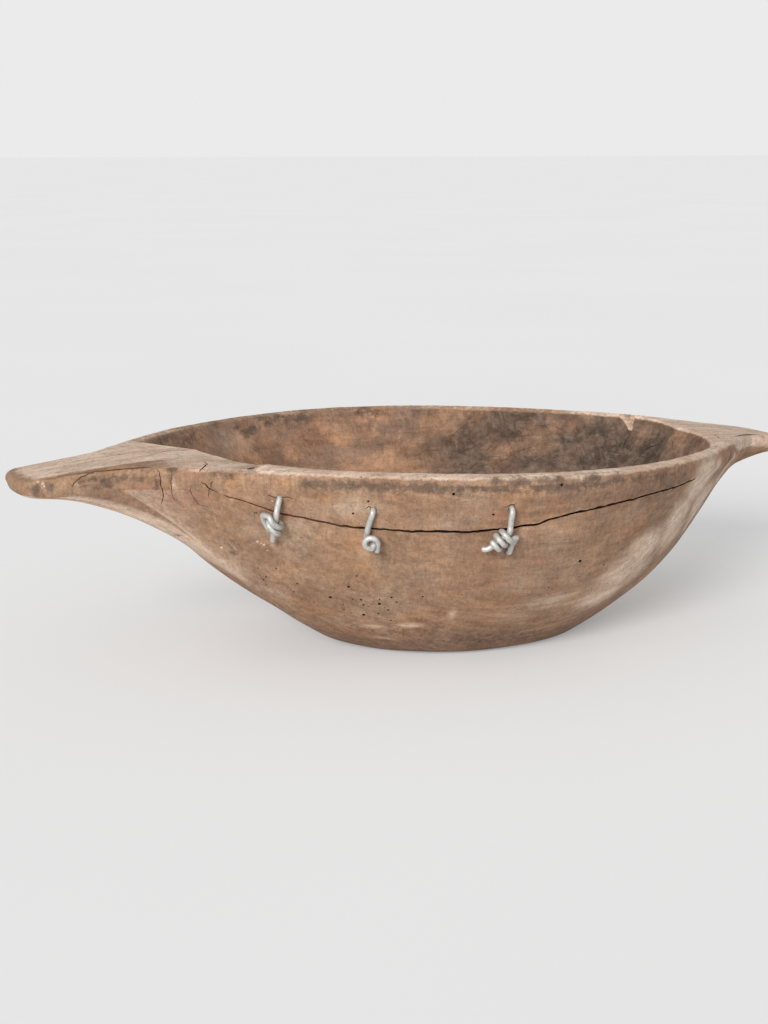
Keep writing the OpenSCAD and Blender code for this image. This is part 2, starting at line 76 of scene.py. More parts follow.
BASE_ROUNDNESS, HOLLOW_ROUNDNESS, SHORT_END_ROUNDNESS, TIP_ROUNDNESS = 2.3, 2.0, 2.12, 2.5
FLANK_STEPS, GRIP_STEPS, TIP_STEPS = 22, 4, 5
QUARTER = FLANK_STEPS + GRIP_STEPS + TIP_STEPS
FLANK_WALL = ((0, 0), (0.75, 0.325), (0.745, 0.67), (1, 1))
HANDLE_WALL = ((0, 0), (0.16, 0), (0.55, 1), (1, 1))
HANDLE_SPREAD = 60.0
INNER_WALL = ((0.36, 0), (0.66, 0.1), (0.88, 0.62), (1, 1))
DROP_START, DROP_POWER = 0.94, 1.5
CRACK_START, CRACK_END, CRACK_DEPTH = -14.0, 8.0, 41.0
CRACK_GAP, CRACK_END_GAP = 1.7, 1.0
CRACK_LINE = (
    (-1, 0.48), (-0.93, 0.62), (-0.85, 0.78), (-0.77, 0.86), (-0.68, 0.95), (-0.5, 1), (-0.3, 1),
    (-0.2, 0.94), (-0.1, 0.87), (-0.05, 0.79), (0, 0.72), (0.25, 0.62), (0.5, 0.54), (0.75, 0.49),
    (1, 0.44),
)


def mix(low, high, share):
    return low + (high - low) * share


def smooth(low, high, value):
    share = np.clip((value - low) / (high - low), 0, 1)
    return share * share * (3 - 2 * share)


def cubic(places, share):
    rest = 1 - share
    return (
        places[0] * rest ** 3 + places[1] * 3 * share * rest ** 2
        + places[2] * 3 * share ** 2 * rest + places[3] * share ** 3
    )


def outline(station, side):
    """Place of the rim's outer edge, for stations counted from the middle of a side to a handle's tip."""
    steps = np.abs(station)
    long_end = station < 0
    reach = np.where(long_end, LONG_REACH, SHORT_REACH)
    root_x = np.where(long_end, LONG_ROOT, SHORT_ROOT)
    tip_x = reach - TIP_LENGTH
    grip = np.hypot(root_x - tip_x, ROOT_HALF_WIDTH - TIP_HALF_WIDTH)
    swing_x = root_x + (root_x - tip_x) / grip * ROOT_SWING
    swing_y = ROOT_HALF_WIDTH + (ROOT_HALF_WIDTH - TIP_HALF_WIDTH) / grip * ROOT_SWING
    share = np.clip(steps / FLANK_STEPS, 0, 1)
    flank_x = cubic((0, SHOULDER_RUN, swing_x, root_x), share)
    flank_y = cubic((HALF_WIDTH, HALF_WIDTH, swing_y, ROOT_HALF_WIDTH), share)
    share = np.clip((steps - FLANK_STEPS) / GRIP_STEPS, 0, 1)
    grip_x, grip_y = mix(root_x, tip_x, share), mix(ROOT_HALF_WIDTH, TIP_HALF_WIDTH, share)
    turn = np.radians(90 * np.clip((steps - FLANK_STEPS - GRIP_STEPS) / TIP_STEPS, 0, 1))
    round_x = tip_x + TIP_LENGTH * np.sin(turn) ** (2 / TIP_ROUNDNESS)
    round_y = TIP_HALF_WIDTH * np.clip(np.cos(turn), 0, 1) ** (2 / TIP_ROUNDNESS)
    on_flank, on_grip = steps <= FLANK_STEPS, steps <= FLANK_STEPS + GRIP_STEPS
    x = np.where(on_flank, flank_x, np.where(on_grip, grip_x, round_x))
    y = np.where(on_flank, flank_y, np.where(on_grip, grip_y, round_y))
    return np.where(long_end, -x, x), y * side


def oval_angle(station):
    steps = np.abs(station)
    return np.interp(steps, (0, FLANK_STEPS, FLANK_STEPS + GRIP_STEPS, QUARTER), (90, 34, 12, 0))


def oval(half_length, half_breadth, roundness, station, side):
    turn = np.radians(oval_angle(station))
    x = half_length * np.clip(np.cos(turn), 0, 1) ** (2 / roundness)
    y = half_breadth * np.clip(np.sin(turn), 0, 1) ** (2 / roundness)
    return np.where(station < 0, -x, x), y * side


def within_rim(station):
    """Line beside the outline, one rim's width inside it, with lengths taken as positive."""
    ahead = station + np.where(station < 0, -0.01, 0.01)
    x, y = (np.abs(v) for v in outline(station, 1.0))
    way_x, way_y = (np.abs(v) - was for v, was in zip(outline(ahead, 1.0), (x, y)))
    size = np.hypot(way_x, way_y)
    way_x, way_y = way_x / size, way_y / size
    return x + way_y * BACK_RIM_WIDTH, y - way_x * BACK_RIM_WIDTH, way_x, way_y


def hollow_edge(station, side):
    """Edge of the hollow: an oval in front, and behind a line that follows the outline and turns in."""
    roundness = np.where(station < 0, HOLLOW_ROUNDNESS, SHORT_END_ROUNDNESS)
    front_x, front_y = oval(HOLLOW_HALF_LENGTH, HOLLOW_HALF_WIDTH, roundness, station, 1.0)
    last = FLANK_STEPS * BACK_FOLLOW
    beside_x, beside_y, _, _ = within_rim(np.clip(station, -last, last))
    corner_x, corner_y, way_x, way_y = within_rim(np.where(station < 0, -last, last))
    share = np.clip((np.abs(station) - last) / (QUARTER - last), 0, 1)
    near_pull, far_pull = (HOLLOW_HALF_LENGTH * pull for pull in BACK_PULLS)
    end_x, end_y = HOLLOW_HALF_LENGTH + math.sin(BACK_LEAN) * far_pull, math.cos(BACK_LEAN) * far_pull
    turn_x = cubic((corner_x, corner_x + way_x * near_pull, end_x, HOLLOW_HALF_LENGTH), share)
    turn_y = cubic((corner_y, corner_y + way_y * near_pull, end_y, 0), share)
    follows = np.abs(station) <= last
    x = np.where(side < 0, np.abs(front_x), np.where(follows, beside_x, turn_x))
    y = np.where(side < 0, front_y, np.where(follows, beside_y, turn_y))
    return np.where(station < 0, -x, x), y * side


def top_height(x):
    reach = np.where(x < 0, LONG_REACH, SHORT_REACH)
    drop = np.where(x < 0, LONG_DROP, SHORT_DROP)
    start = HOLLOW_HALF_LENGTH * DROP_START
    along = np.clip((np.abs(x) - start) / (reach - start), 0, 1)
    return RIM_HEIGHT - RIM_TILT * x / HOLLOW_HALF_LENGTH - drop * along ** DROP_POWER


def wall_shares(station, share):
    weight = 1 - smooth(0, HANDLE_SPREAD, oval_angle(station))
    pairs = list(zip(FLANK_WALL, HANDLE_WALL))
    run, rise = ([mix(flank[axis], handle[axis], weight) for flank, handle in pairs] for axis in (0, 1))
    return cubic(run, share), cubic(rise, share)


def outer_wall(station, side, share):
    foot_x, foot_y = oval(BASE_HALF_LENGTH, BASE_HALF_WIDTH, BASE_ROUNDNESS, station, side)
    rim_x, rim_y = outline(station, side)
    run, rise = wall_shares(station, share)
    height = (top_height(rim_x) - BAND_HEIGHT) * rise
    return np.stack([mix(foot_x - BASE_SHIFT, rim_x, run), mix(foot_y, rim_y, run), height], -1)


def inner_wall(station, side, share):
    rim_x, rim_y = hollow_edge(station, side)
    run, rise = (cubic(places, share) for places in zip(*INNER_WALL))
    return np.stack([rim_x * run, rim_y * run, mix(FLOOR_THICKNESS, top_height(rim_x), rise)], -1)


HALVINGS = 24


def share_at(surface, station, side, height):
    """Share of a wall at which it reaches a height, found by halving."""
    low, high = np.zeros_like(station), np.ones_like(station)
    for _ in range(HALVINGS):
        middle = (low + high) / 2
        below = surface(station, side, middle)[..., 2] < height
        low, high = np.where(below, middle, low), np.where(below, high, middle)
    return (low + high) / 2


def crack_height(station):
    along = np.clip(np.where(station < 0, -station / CRACK_START, station / CRACK_END), -1, 1)
    depth = np.interp(along, *zip(*CRACK_LINE))
    return top_height(outline(station, -1.0)[0]) - CRACK_DEPTH * depth


def crack_width(station):
    """Width of the gap, which opens in the middle and stays wide toward the long handle."""
    along = np.clip((station - CRACK_START) / (CRACK_END - CRACK_START), 0, 1)
    wider_left = mix(1.3, 1, smooth(0.12, 0.32, along))
    return mix(CRACK_END_GAP, CRACK_GAP, np.sin(np.pi * along) ** 0.7 * wider_left)


def ripple(points, size, seed):
    """Smooth noise between -1 and 1 at points in millimetres, with its usual wave length."""
    size = np.broadcast_to(np.asarray(size, float), (3,))
    flat = points.reshape(-1, 3) / size + seed * 7.31
    values = np.fromiter((noise.noise(Vector(p)) for p in flat), float, len(flat))
    return np.clip(values.reshape(points.shape[:-1]) * 1.6, -1, 1)


# ---- Grid of the bowl's skin: columns round the outline, rows from base to floor ----
LEFT_COLUMNS, CRACK_COLUMNS, RIGHT_COLUMNS, BACK_COLUMNS = 110, 250, 96, 150
front_left = np.linspace(-QUARTER, CRACK_START, LEFT_COLUMNS, endpoint=False)
front_crack = np.linspace(CRACK_START, CRACK_END, CRACK_COLUMNS)
front_right = np.linspace(CRACK_END, QUARTER, RIGHT_COLUMNS)[1:]
back = np.linspace(QUARTER, -QUARTER, BACK_COLUMNS)[1:-1]
STATION = np.concatenate([front_left, front_crack, front_right, back])
COLUMNS = len(STATION)
SIDE = np.where(np.arange(COLUMNS) < COLUMNS - len(back), -1.0, 1.0)
FIRST_GAP, LAST_GAP = LEFT_COLUMNS, LEFT_COLUMNS + CRACK_COLUMNS - 1


def waver(pace, second, third=0):
    """Smooth noise along the crack's line."""
    line = np.where(SIDE < 0, STATION, -STATION)
    return np.array([noise.noise(Vector((station * pace, second, third))) for station in line])


# How far the crack strays up and down in millimetres, in long and short waves, and how much it gapes
LONG_STRAY, SHORT_STRAY, UNEVEN_GAPE = 0.7, 0.35, 0.45
gape = crack_width(STATION) * (1 + UNEVEN_GAPE * waver(3.3, 5.2, 1))
middle_height = crack_height(STATION) + waver(1.7, 3.1) * LONG_STRAY + waver(6.0, 9.4) * SHORT_STRAY
lower_lip, upper_lip, inner_lower, inner_upper = (
    share_at(wall, STATION, SIDE, middle_height + gape / 2 * way)
    for wall in (outer_wall, inner_wall) for way in (-1, 1)
)

rim_x, rim_y = outline(STATION, SIDE)
hollow_x, hollow_y = hollow_edge(STATION, SIDE)
along_x, along_y = np.roll(rim_x, -1) - np.roll(rim_x, 1), np.roll(rim_y, -1) - np.roll(rim_y, 1)
length = np.hypot(along_x, along_y)
inward_x, inward_y = -along_y / length, along_x / length
hollow_run = np.hypot(hollow_x, hollow_y)
out_x, out_y = hollow_x / hollow_run, hollow_y / hollow_run

rows, zones = [], []


def add_row(points, zone):
    rows.append(np.array(points, float))
    zones.append(zone)


BASE_ROWS, LOWER_ROWS, UPPER_ROWS, BAND_ROWS, EDGE_ROWS, BRIM_ROWS, LIP_ROWS = 4, 44, 15, 3, 7, 15, 3
INNER_UPPER_ROWS, INNER_LOWER_ROWS, FLOOR_ROWS = 10, 26, 10
foot = outer_wall(STATION, SIDE, np.zeros(COLUMNS))
for k in range(1, BASE_ROWS + 1):
    share = k / (BASE_ROWS + 1)
    add_row(np.stack([mix(-BASE_SHIFT, foot[:, 0], share), foot[:, 1] * share, foot[:, 2]], -1), "base")
for k in range(LOWER_ROWS + 1):
    add_row(outer_wall(STATION, SIDE, lower_lip * (k / LOWER_ROWS)), "outer")
LOWER_LIP_ROW = len(rows) - 1
for k in range(UPPER_ROWS + 1):
    add_row(outer_wall(STATION, SIDE, mix(upper_lip, 1.0, k / UPPER_ROWS)), "outer")
BAND_FOOT_ROW = len(rows) - 1
for k in range(1, BAND_ROWS + 1):
    height = top_height(rim_x) - mix(BAND_HEIGHT, EDGE_RADIUS, k / (BAND_ROWS + 1))
    add_row(np.stack([rim_x, rim_y, height], -1), "band")
for k in range(EDGE_ROWS + 1):
    turn = math.pi / 2 * k / EDGE_ROWS
    x = rim_x + inward_x * EDGE_RADIUS * (1 - math.cos(turn))
    y = rim_y + inward_y * EDGE_RADIUS * (1 - math.cos(turn))
    add_row(np.stack([x, y, top_height(x) - EDGE_RADIUS * (1 - math.sin(turn))], -1), "edge")
brim_from = rows[-1]
brim_to = np.stack([hollow_x + out_x * INNER_EDGE_RADIUS, hollow_y + out_y * INNER_EDGE_RADIUS], -1)
for k in range(1, BRIM_ROWS + 1):
    place = mix(brim_from[:, :2], brim_to, k / BRIM_ROWS)
    add_row(np.stack([place[:, 0], place[:, 1], top_height(place[:, 0])], -1), "top")
for k in range(1, LIP_ROWS + 1):
    turn = math.pi / 2 * k / (LIP_ROWS + 1)
    x = hollow_x + out_x * INNER_EDGE_RADIUS * (1 - math.sin(turn))
    y = hollow_y + out_y * INNER_EDGE_RADIUS * (1 - math.sin(turn))
    add_row(np.stack([x, y, top_height(x) - INNER_EDGE_RADIUS * (1 - math.cos(turn))], -1), "lip")
inner_top = share_at(inner_wall, STATION, SIDE, top_height(hollow_x) - INNER_EDGE_RADIUS)
for k in range(INNER_UPPER_ROWS + 1):
    add_row(inner_wall(STATION, SIDE, mix(inner_top, inner_upper, k / INNER_UPPER_ROWS)), "inner")
INNER_UPPER_ROW = len(rows) - 1
for k in range(INNER_LOWER_ROWS + 1):
    add_row(inner_wall(STATION, SIDE, inner_lower * (1 - k / INNER_LOWER_ROWS)), "inner")
floor_edge = rows[-1]
for k in range(1, FLOOR_ROWS):
    share = 1 - k / FLOOR_ROWS
    row = floor_edge * share
    row[:, 2] = FLOOR_THICKNESS * (1 - FLOOR_DISH * (1 - share * share))
    add_row(row, "floor")
grid = np.array(rows)
zones = np.array(zones)


def soften(first, last, passes):
    """Rounds the rows from first to last, with the ends held."""
    for _ in range(passes):
        beside = grid[first:last - 1] + grid[first + 2:last + 1]
        grid[first + 1:last] = grid[first + 1:last] * 0.5 + beside * 0.25


# The bend below the upright band, and the one at the foot
soften(BAND_FOOT_ROW - 9, BAND_FOOT_ROW + 5, 14)
soften(BASE_ROWS - 3, BASE_ROWS + 5, 1)

# Outward directions: from the grid itself, but by rule round the rim, whose rows lie close together
normals = np.cross(np.roll(grid, -1, 1) - np.roll(grid, 1, 1), np.gradient(grid, axis=0))
normals = normals / np.maximum(np.linalg.norm(normals, axis=-1, keepdims=True), 1e-9)
level = np.zeros_like(inward_x)
side_out = np.stack([-inward_x, -inward_y, level], -1)
hollow_out = np.stack([out_x, out_y, level], -1)
UP = np.array((0.0, 0.0, 1.0))
for name in ("band", "edge", "top", "lip"):
    belt = np.where(zones == name)[0]
    for k, row in enumerate(belt):
        if name == "band":
            normals[row] = side_out
        elif name == "edge":
            turn = math.pi / 2 * k / EDGE_ROWS
            normals[row] = side_out * math.cos(turn) + UP * math.sin(turn)
        elif name == "top":
            normals[row] = UP
        else:
            turn = math.pi / 2 * (k + 1) / (LIP_ROWS + 1)
            normals[row] = UP * math.cos(turn) - hollow_out * math.sin(turn)
every_column = np.ones((1, COLUMNS))
zone_is = {name: (zones == name)[:, None] * every_column for name in set(zones)}

# ---- Hand-carved unevenness, wear and damage ----
LONG_SWELL, SHORT_SWELL, TOP_SWELL = 0.9, 0.35, 0.35
OUTER_FACETS, INNER_FACETS, TOP_FACETS = 0.5, 0.8, 0.3
TOP_KEPT, STITCH_KEPT, STITCH_FADE, FOOT_FADE = 0.25, 0.2, 20, 22
WORN_EDGE = 0.8


def swell(size, seed):
    return (1 + ripple(grid, size, seed)) * 0.5


outside = zone_is["outer"] + zone_is["band"]
inside = zone_is["inner"] + zone_is["floor"]
top = zone_is["top"] + zone_is["edge"] + zone_is["lip"]
carve = LONG_SWELL * swell(95, 1) + SHORT_SWELL * swell((46, 46, 26), 2)
carve += outside * OUTER_FACETS * np.abs(ripple(grid, (60, 60, 22), 3))
carve += inside * INNER_FACETS * np.abs(ripple(grid, (34, 34, 20), 4))
carve *= 1 - (1 - TOP_KEPT) * top
carve += top * (TOP_SWELL * swell((38, 38, 60), 5) + TOP_FACETS * np.abs(ripple(grid, 14, 6)))
carve *= (1 - zone_is["base"]) * mix(1, smooth(0, FOOT_FADE, grid[..., 2]), outside)
STITCH_STATIONS = {"left": -12.0, "middle": -8.4, "right": -2.6}
for station in STITCH_STATIONS.values():
    seat = np.array([station]), np.array([-1.0])
    seat_place = outer_wall(*seat, share_at(outer_wall, *seat, crack_height(seat[0])))[0]
    carve *= 1 - (1 - STITCH_KEPT) * np.exp(-(((grid - seat_place) / STITCH_FADE) ** 2).sum(-1))
crown = np.zeros_like(carve)
WEAR = (("edge", lambda s: s ** 2), ("top", lambda s: abs(2 * s - 1) ** 3), ("lip", lambda s: 1 - s))
for name, curve in WEAR:
    belt = np.where(zones == name)[0]
    for k, row in enumerate(belt):
        crown[row] = WORN_EDGE * curve((k + 1) / len(belt))
grid = grid - normals * (carve + crown)[..., None]
grid[..., 2] = np.maximum(grid[..., 2], 0)

# Step across the rim where a flake has come off, beside the long handle; from the hollow's middle
FLAKE_DEPTH, FLAKE_X, FLAKE_Y, FLAKE_SLANT = 1.6, -188, -72, 0.55
step_side = (grid[..., 0] - FLAKE_X) - (grid[..., 1] - FLAKE_Y) * FLAKE_SLANT
flake = (1 - smooth(-2.5, 2.5, step_side)) * smooth(-60, -20, step_side) * smooth(-25, -55, grid[..., 1])
grid[..., 2] -= FLAKE_DEPTH * flake * top

grid[..., 0] += HOLLOW_SHIFT
grid = np.clip(grid, np.array(cad_low) / MM, np.array(cad_high) / MM)

# ---- Mesh of the bowl, with the crack as a slit through the wall ----
ROWS = len(grid)


def corner(row, column):
    return row * COLUMNS + column % COLUMNS


faces = []
for row in range(ROWS - 1):
    for column in range(COLUMNS):
        if row in (LOWER_LIP_ROW, INNER_UPPER_ROW) and FIRST_GAP <= column < LAST_GAP:
            continue
        place = ((row, column), (row, column + 1), (row + 1, column + 1), (row + 1, column))
        faces.append(tuple(corner(*spot) for spot in place))
base_centre, floor_centre = ROWS * COLUMNS, ROWS * COLUMNS + 1
for column in range(COLUMNS):
    faces.append((base_centre, corner(0, column + 1), corner(0, column)))
    faces.append((floor_centre, corner(ROWS - 1, column), corner(ROWS - 1, column + 1)))
# The slit's lower and upper face, and its two ends
SLIT_ROWS = (LOWER_LIP_ROW, LOWER_LIP_ROW + 1, INNER_UPPER_ROW, INNER_UPPER_ROW + 1)
first_slit_face = len(faces)
for column in range(FIRST_GAP, LAST_GAP):
    near, far = ([corner(row, c) for row in SLIT_ROWS] for c in (column, column + 1))
    faces.append((near[0], far[0], far[3], near[3]))
    faces.append((far[1], near[1], near[2], far[2]))
near, far = ([corner(row, c) for row in SLIT_ROWS] for c in (FIRST_GAP, LAST_GAP))
faces.append((near[0], near[3], near[2], near[1]))
faces.append((far[0], far[1], far[2], far[3]))
centres = [(HOLLOW_SHIFT - BASE_SHIFT, 0, 0), (HOLLOW_SHIFT, 0, grid[-1, :, 2].min())]
points = np.concatenate([grid.reshape(-1, 3), centres]) * MM


def new_mesh(name, vertices, polygons=(), edges=()):
    mesh = bpy.data.meshes.new(name)
    mesh.from_pydata([tuple(v) for v in vertices], edges, polygons)
    mesh.update()
    return mesh


def new_object(name, mesh):
    made = bpy.data.objects.new(name, mesh)
    bpy.context.scene.collection.objects.link(made)
    return made


def keep_numbers(mesh, **columns):
    """Stores a number for each point, in every column given."""
    for name, values in columns.items():
        mesh.attributes.new(name, "FLOAT", "POINT").data.foreach_set("value", np.array(values, np.float32))


bowl_mesh = new_mesh("carved_bowl", points, faces)
bowl_mesh.polygons.foreach_set("use_smooth", [True] * len(bowl_mesh.polygons))
# The slit's faces carry painted shade: the wood material colours them near-black, as the shade inside the
# crack.
slit = np.zeros(len(faces), np.float32)
slit[first_slit_face:] = 1.0
bowl_mesh.attributes.new("bored", "FLOAT", "FACE").data.foreach_set("value", slit)


# ---- Paint: where the wood is bleached, stained, greyed or freshly broken, and where shade and light are painted on ----
def spots(table):
    """Soft spots, each with its place in the object's frame, its three sizes and its strength."""
    found = np.zeros(grid.shape[:2])
    for *numbers, amount in table:
        offset = (grid - np.array(numbers[:3], float)) / np.array(numbers[3:], float)
        found = np.maximum(found, amount * np.exp(-(offset ** 2).sum(-1)))
    return found


def strips(table):
    """Soft strips, each with its half width, its strength and the places it runs through."""
    found = np.zeros(grid.shape[:2])
    for half_width, amount, places in table:
        for start, end in zip(np.array(places[:-1], float), np.array(places[1:], float)):
            run = end - start
            share = np.clip(((grid - start) @ run) / (run @ run), 0, 1)
            away = np.linalg.norm(grid - (start + share[..., None] * run), axis=-1)
            found = np.maximum(found, amount * np.exp(-(away / half_width) ** 2))
    return found


along, across, high = grid[..., 0], grid[..., 1], grid[..., 2]
below_rim = top_height(along - HOLLOW_SHIFT) - high
# The bleached edge reaches further down at the short handle and is lost at the long handle's front
bleached = (1 - smooth(0.5, 5.5, below_rim - 8 * smooth(225, 250, along))) * (top + outside)
bleached *= 1 - smooth(-205, -240, along) * smooth(-22, -28, across)
bleached *= 1 - 0.85 * smooth(-308, -318, along)
bleached *= 1 - 0.6 * smooth(30, 60, across) * smooth(-190, -150, along) * smooth(215, 175, along)
# Dark smudges and stains, and painted shade low on the front wall towards the foot
SMUDGES_AND_FOOT_SHADE = (
    (-313, -29, 138, 4, 6, 5, 0.9), (-304, -31, 139, 5, 6, 4, 0.75), (-309, -30, 133, 9, 6, 3, 0.4),
    (-282, -34, 142, 5, 8, 2.4, 0.85), (-274, -35, 143, 5, 8, 2.2, 0.9),
    (-267, -36, 141, 6, 8, 2.6, 0.85), (-261, -38, 143, 5, 8, 2.4, 0.9),
    (-255, -40, 143, 5, 8, 2.6, 0.95), (-248, -45, 142, 5, 8, 2.6, 0.9),
    (-250, -43, 146, 3, 6, 1.8, 0.7), (-265, -36, 137, 3, 6, 1.6, 0.9),
    (-279, -34, 138, 3, 6, 1.4, 0.7), (-273, -35, 136, 5, 6, 1.6, 0.6), (-241, -37, 150, 3, 3, 3, 0.9),
    (-236, -54, 138, 1.6, 4, 8, 0.8), (-226, -58, 150, 4, 5, 3, 1), (-228, -60, 143, 1.8, 4, 8, 0.8),
    (-225, -56, 129, 2.2, 4, 3, 0.7), (-202, -80, 148, 7, 7, 3, 0.8), (-195, -86, 147, 8, 8, 3, 0.7),
    (-183, -97, 148, 9, 9, 2.5, 0.5), (-149, -118, 143, 8, 9, 4, 0.8),
    (-136, -126, 142, 7, 8, 4.5, 0.9), (-122, -135, 144, 8, 8, 3.5, 0.7),
    (-104, -145, 143, 9, 9, 4, 0.8), (-87, -152, 141, 7, 8, 4.5, 0.9), (-78, -156, 144, 6, 8, 3, 0.8),
    (-62, -160, 144, 10, 8, 2.5, 0.45), (-35, -171, 144, 8, 8, 3.5, 0.8),
    (-20, -174, 143, 9, 8, 4, 0.95), (-4, -176, 144, 8, 8, 3, 0.7), (8, -178, 143, 6, 8, 3.5, 0.8),
    (37, -178, 142, 10, 8, 4, 0.85), (56, -176, 139, 9, 8, 5, 0.7), (77, -172, 137, 12, 9, 5, 0.6),
    (101, -164, 136, 10, 9, 4, 0.55), (229, -68, 139, 2, 3, 3, 1), (110, -160, 131, 30, 12, 5, 0.4),
    (45, -170, 129, 24, 12, 6, 0.35), (-106, 127, 143, 6, 9, 4, 0.8), (-98, 129, 138, 7, 9, 4, 1),
    (-89, 134, 139, 7, 9, 4, 1), (-78, 143, 146, 5, 8, 3, 0.9), (-70, 145, 143, 6, 8, 3.5, 1),
    (-63, 150, 146, 5, 8, 2.6, 0.9), (-49, 152, 142, 8, 9, 3, 0.9), (-39, 156, 142, 5, 8, 3.5, 1),
    (-31, 158, 140, 5, 8, 3, 0.9), (-30, 163, 147, 4, 8, 2.5, 0.9), (22, 166, 141, 7, 9, 3, 0.9),
    (29, 169, 144, 6, 9, 3, 0.9), (39, 165, 140, 12, 9, 3.5, 0.8), (21, 160, 129, 6, 8, 3, 0.7),
    (76, 158, 139, 18, 12, 3.5, 0.5), (124, 137, 132, 14, 12, 6, 0.5), (-128, 119, 149, 12, 9, 3, 0.6),
    # The two broad spots low on the front wall, at heights 14 and 25, are painted shade towards the foot
    (-185, 78, 147, 16, 12, 5, 0.7), (-160, 97, 143, 18, 14, 5, 0.5), (-10, -107, 14, 60, 40, 8, 0.5),
    (-60, -100, 25, 60, 30, 10, 0.3), (-214, -31, 95, 5, 6, 4, 0.6), (-182, -62, 88, 7, 9, 6, 0.6),
    (-188, -66, 95, 6, 8, 5, 0.5),
)
RED_SPOTS = (
    (-236, -50, 128, 40, 22, 12, 0.9), (12, -174, 124, 12, 10, 10, 0.9), (-310, -30, 133, 9, 8, 3, 0.6),
    (-237, -49, 131, 7, 6, 5, 0.8), (-217, -68, 147, 8, 8, 4, 0.9), (-33, -165, 119, 9, 8, 7, 1),
    (-15, -168, 117, 9, 8, 6, 0.6), (4, -158, 82, 16, 12, 9, 0.6), (-36, -154, 93, 14, 12, 8, 0.5),
    (70, -168, 122, 40, 14, 8, 0.7), (-100, -142, 133, 30, 14, 5, 0.5),
    (-165, -100, 118, 22, 18, 5, 0.8), (-190, -88, 134, 16, 14, 5, 0.6), (90, -150, 96, 26, 20, 6, 0.7),
    (180, 92, 132, 16, 14, 10, 0.7), (222, 66, 130, 10, 8, 8, 0.5), (-270, -36, 139, 26, 10, 8, 0.35),
)
SHADOWS = (
    (-20, -174, 144, 40, 14, 5, 0.5), (20, -150, 62, 26, 20, 16, 0.45),
    (-84, -118, 70, 26, 20, 14, 0.25), (60, -172, 104, 30, 14, 8, 0.6),
    (-96, -108, 58, 20, 18, 12, 0.5), (20, -134, 40, 12, 16, 22, 0.5),
    (-180, -90, 112, 18, 16, 10, 0.3), (-190, -76, 112, 24, 20, 20, 0.3),
    (75, -165, 126, 45, 14, 12, 0.8), (-10, -110, 16, 90, 60, 12, 0.7),
    (120, -150, 118, 16, 14, 8, 0.4), (-318, -10, 138, 10, 30, 9, 0.5), (236, -66, 133, 6, 12, 10, 0.5),
    (-12, -172, 128, 22, 12, 6, 0.4), (22, -176, 134, 16, 12, 9, 0.9), (40, -172, 112, 30, 14, 9, 0.5),
    (-48, -152, 72, 7, 16, 32, 0.5), (-150, -72, 60, 34, 24, 20, 0.35),
    (-165, -62, 66, 20, 20, 12, 0.5), (-130, 112, 143, 40, 30, 5, 0.35),
    (-40, 154, 141, 40, 30, 6, 0.5), (-252, -42, 124, 36, 20, 14, 0.9),
    (-300, -32, 134, 30, 14, 9, 0.4), (20, 160, 138, 40, 30, 7, 0.4), (60, 150, 118, 24, 20, 9, 0.5),
    (-262, -36, 138, 30, 12, 7, 0.5), (-215, -66, 142, 16, 14, 8, 0.6),
    (118, -152, 128, 40, 16, 8, 0.9), (-24, -172, 136, 60, 16, 5, 0.4),
    (-180, -96, 140, 30, 30, 5, 0.4),
)
PALE_SPOTS = (
    (-90, -89, 29, 11, 10, 2.5, 0.7), (-68, -104, 31, 12, 10, 2.5, 0.8), (-78, -82, 17, 14, 10, 2, 0.5),
    (-44, -124, 40, 4, 6, 12, 0.5), (29, -167, 148, 9, 8, 4, 0.7), (27, -178, 143, 3, 6, 3, 0.7),
    (-227, -62, 140, 1.5, 4, 5, 0.9), (190, -95, 96, 28, 26, 20, 0.9), (150, -118, 80, 30, 26, 22, 0.8),
    (110, -125, 58, 30, 26, 20, 0.7), (80, -128, 48, 34, 22, 14, 0.6), (186, 84, 118, 9, 9, 7, 0.7),
    (-4, -150, 62, 34, 20, 17, 0.25), (30, -142, 46, 34, 20, 10, 0.5), (82, -128, 40, 36, 22, 12, 0.9),
    (94, -136, 58, 30, 22, 18, 0.9), (114, -136, 76, 28, 22, 16, 1), (172, -126, 118, 26, 26, 20, 1.2),
    (150, -124, 92, 24, 22, 18, 1.1), (275, 0, 137, 34, 44, 8, 1), (266, -42, 136, 28, 20, 9, 1.3),
    (300, -20, 132, 20, 24, 9, 0.8), (246, -44, 138, 14, 20, 6, 0.8), (-206, 40, 149, 30, 26, 6, 0.8),
    (-70, -156, 112, 26, 14, 12, 0.35), (-44, -158, 118, 46, 16, 12, 0.25),
    (-120, -122, 126, 26, 18, 10, 0.4), (262, -8, 132, 30, 30, 12, 1.8),
    (292, -6, 138, 30, 34, 10, 1.2), (222, 40, 116, 14, 20, 10, 0.3), (-110, 120, 134, 50, 30, 16, 0.4),
    (-180, -80, 106, 20, 20, 8, 0.3), (222, -80, 108, 8, 16, 16, 0.8), (-10, -135, 38, 40, 16, 10, 0.3),
    (-155, -62, 58, 18, 20, 8, 0.35),
)
DARK_STRIPS = (
    (5, 0.9, ((226, -86, 130), (201, -97, 112), (183, -103, 99), (166, -107, 86))),
    (3, 0.5, ((196, -105, 118), (178, -112, 104), (158, -116, 88))),
    (3, 0.5, ((-139, -64, 42), (-113, -72, 29))),
    (3, 0.5, ((-174, -49, 64), (-153, -57, 48))),
)
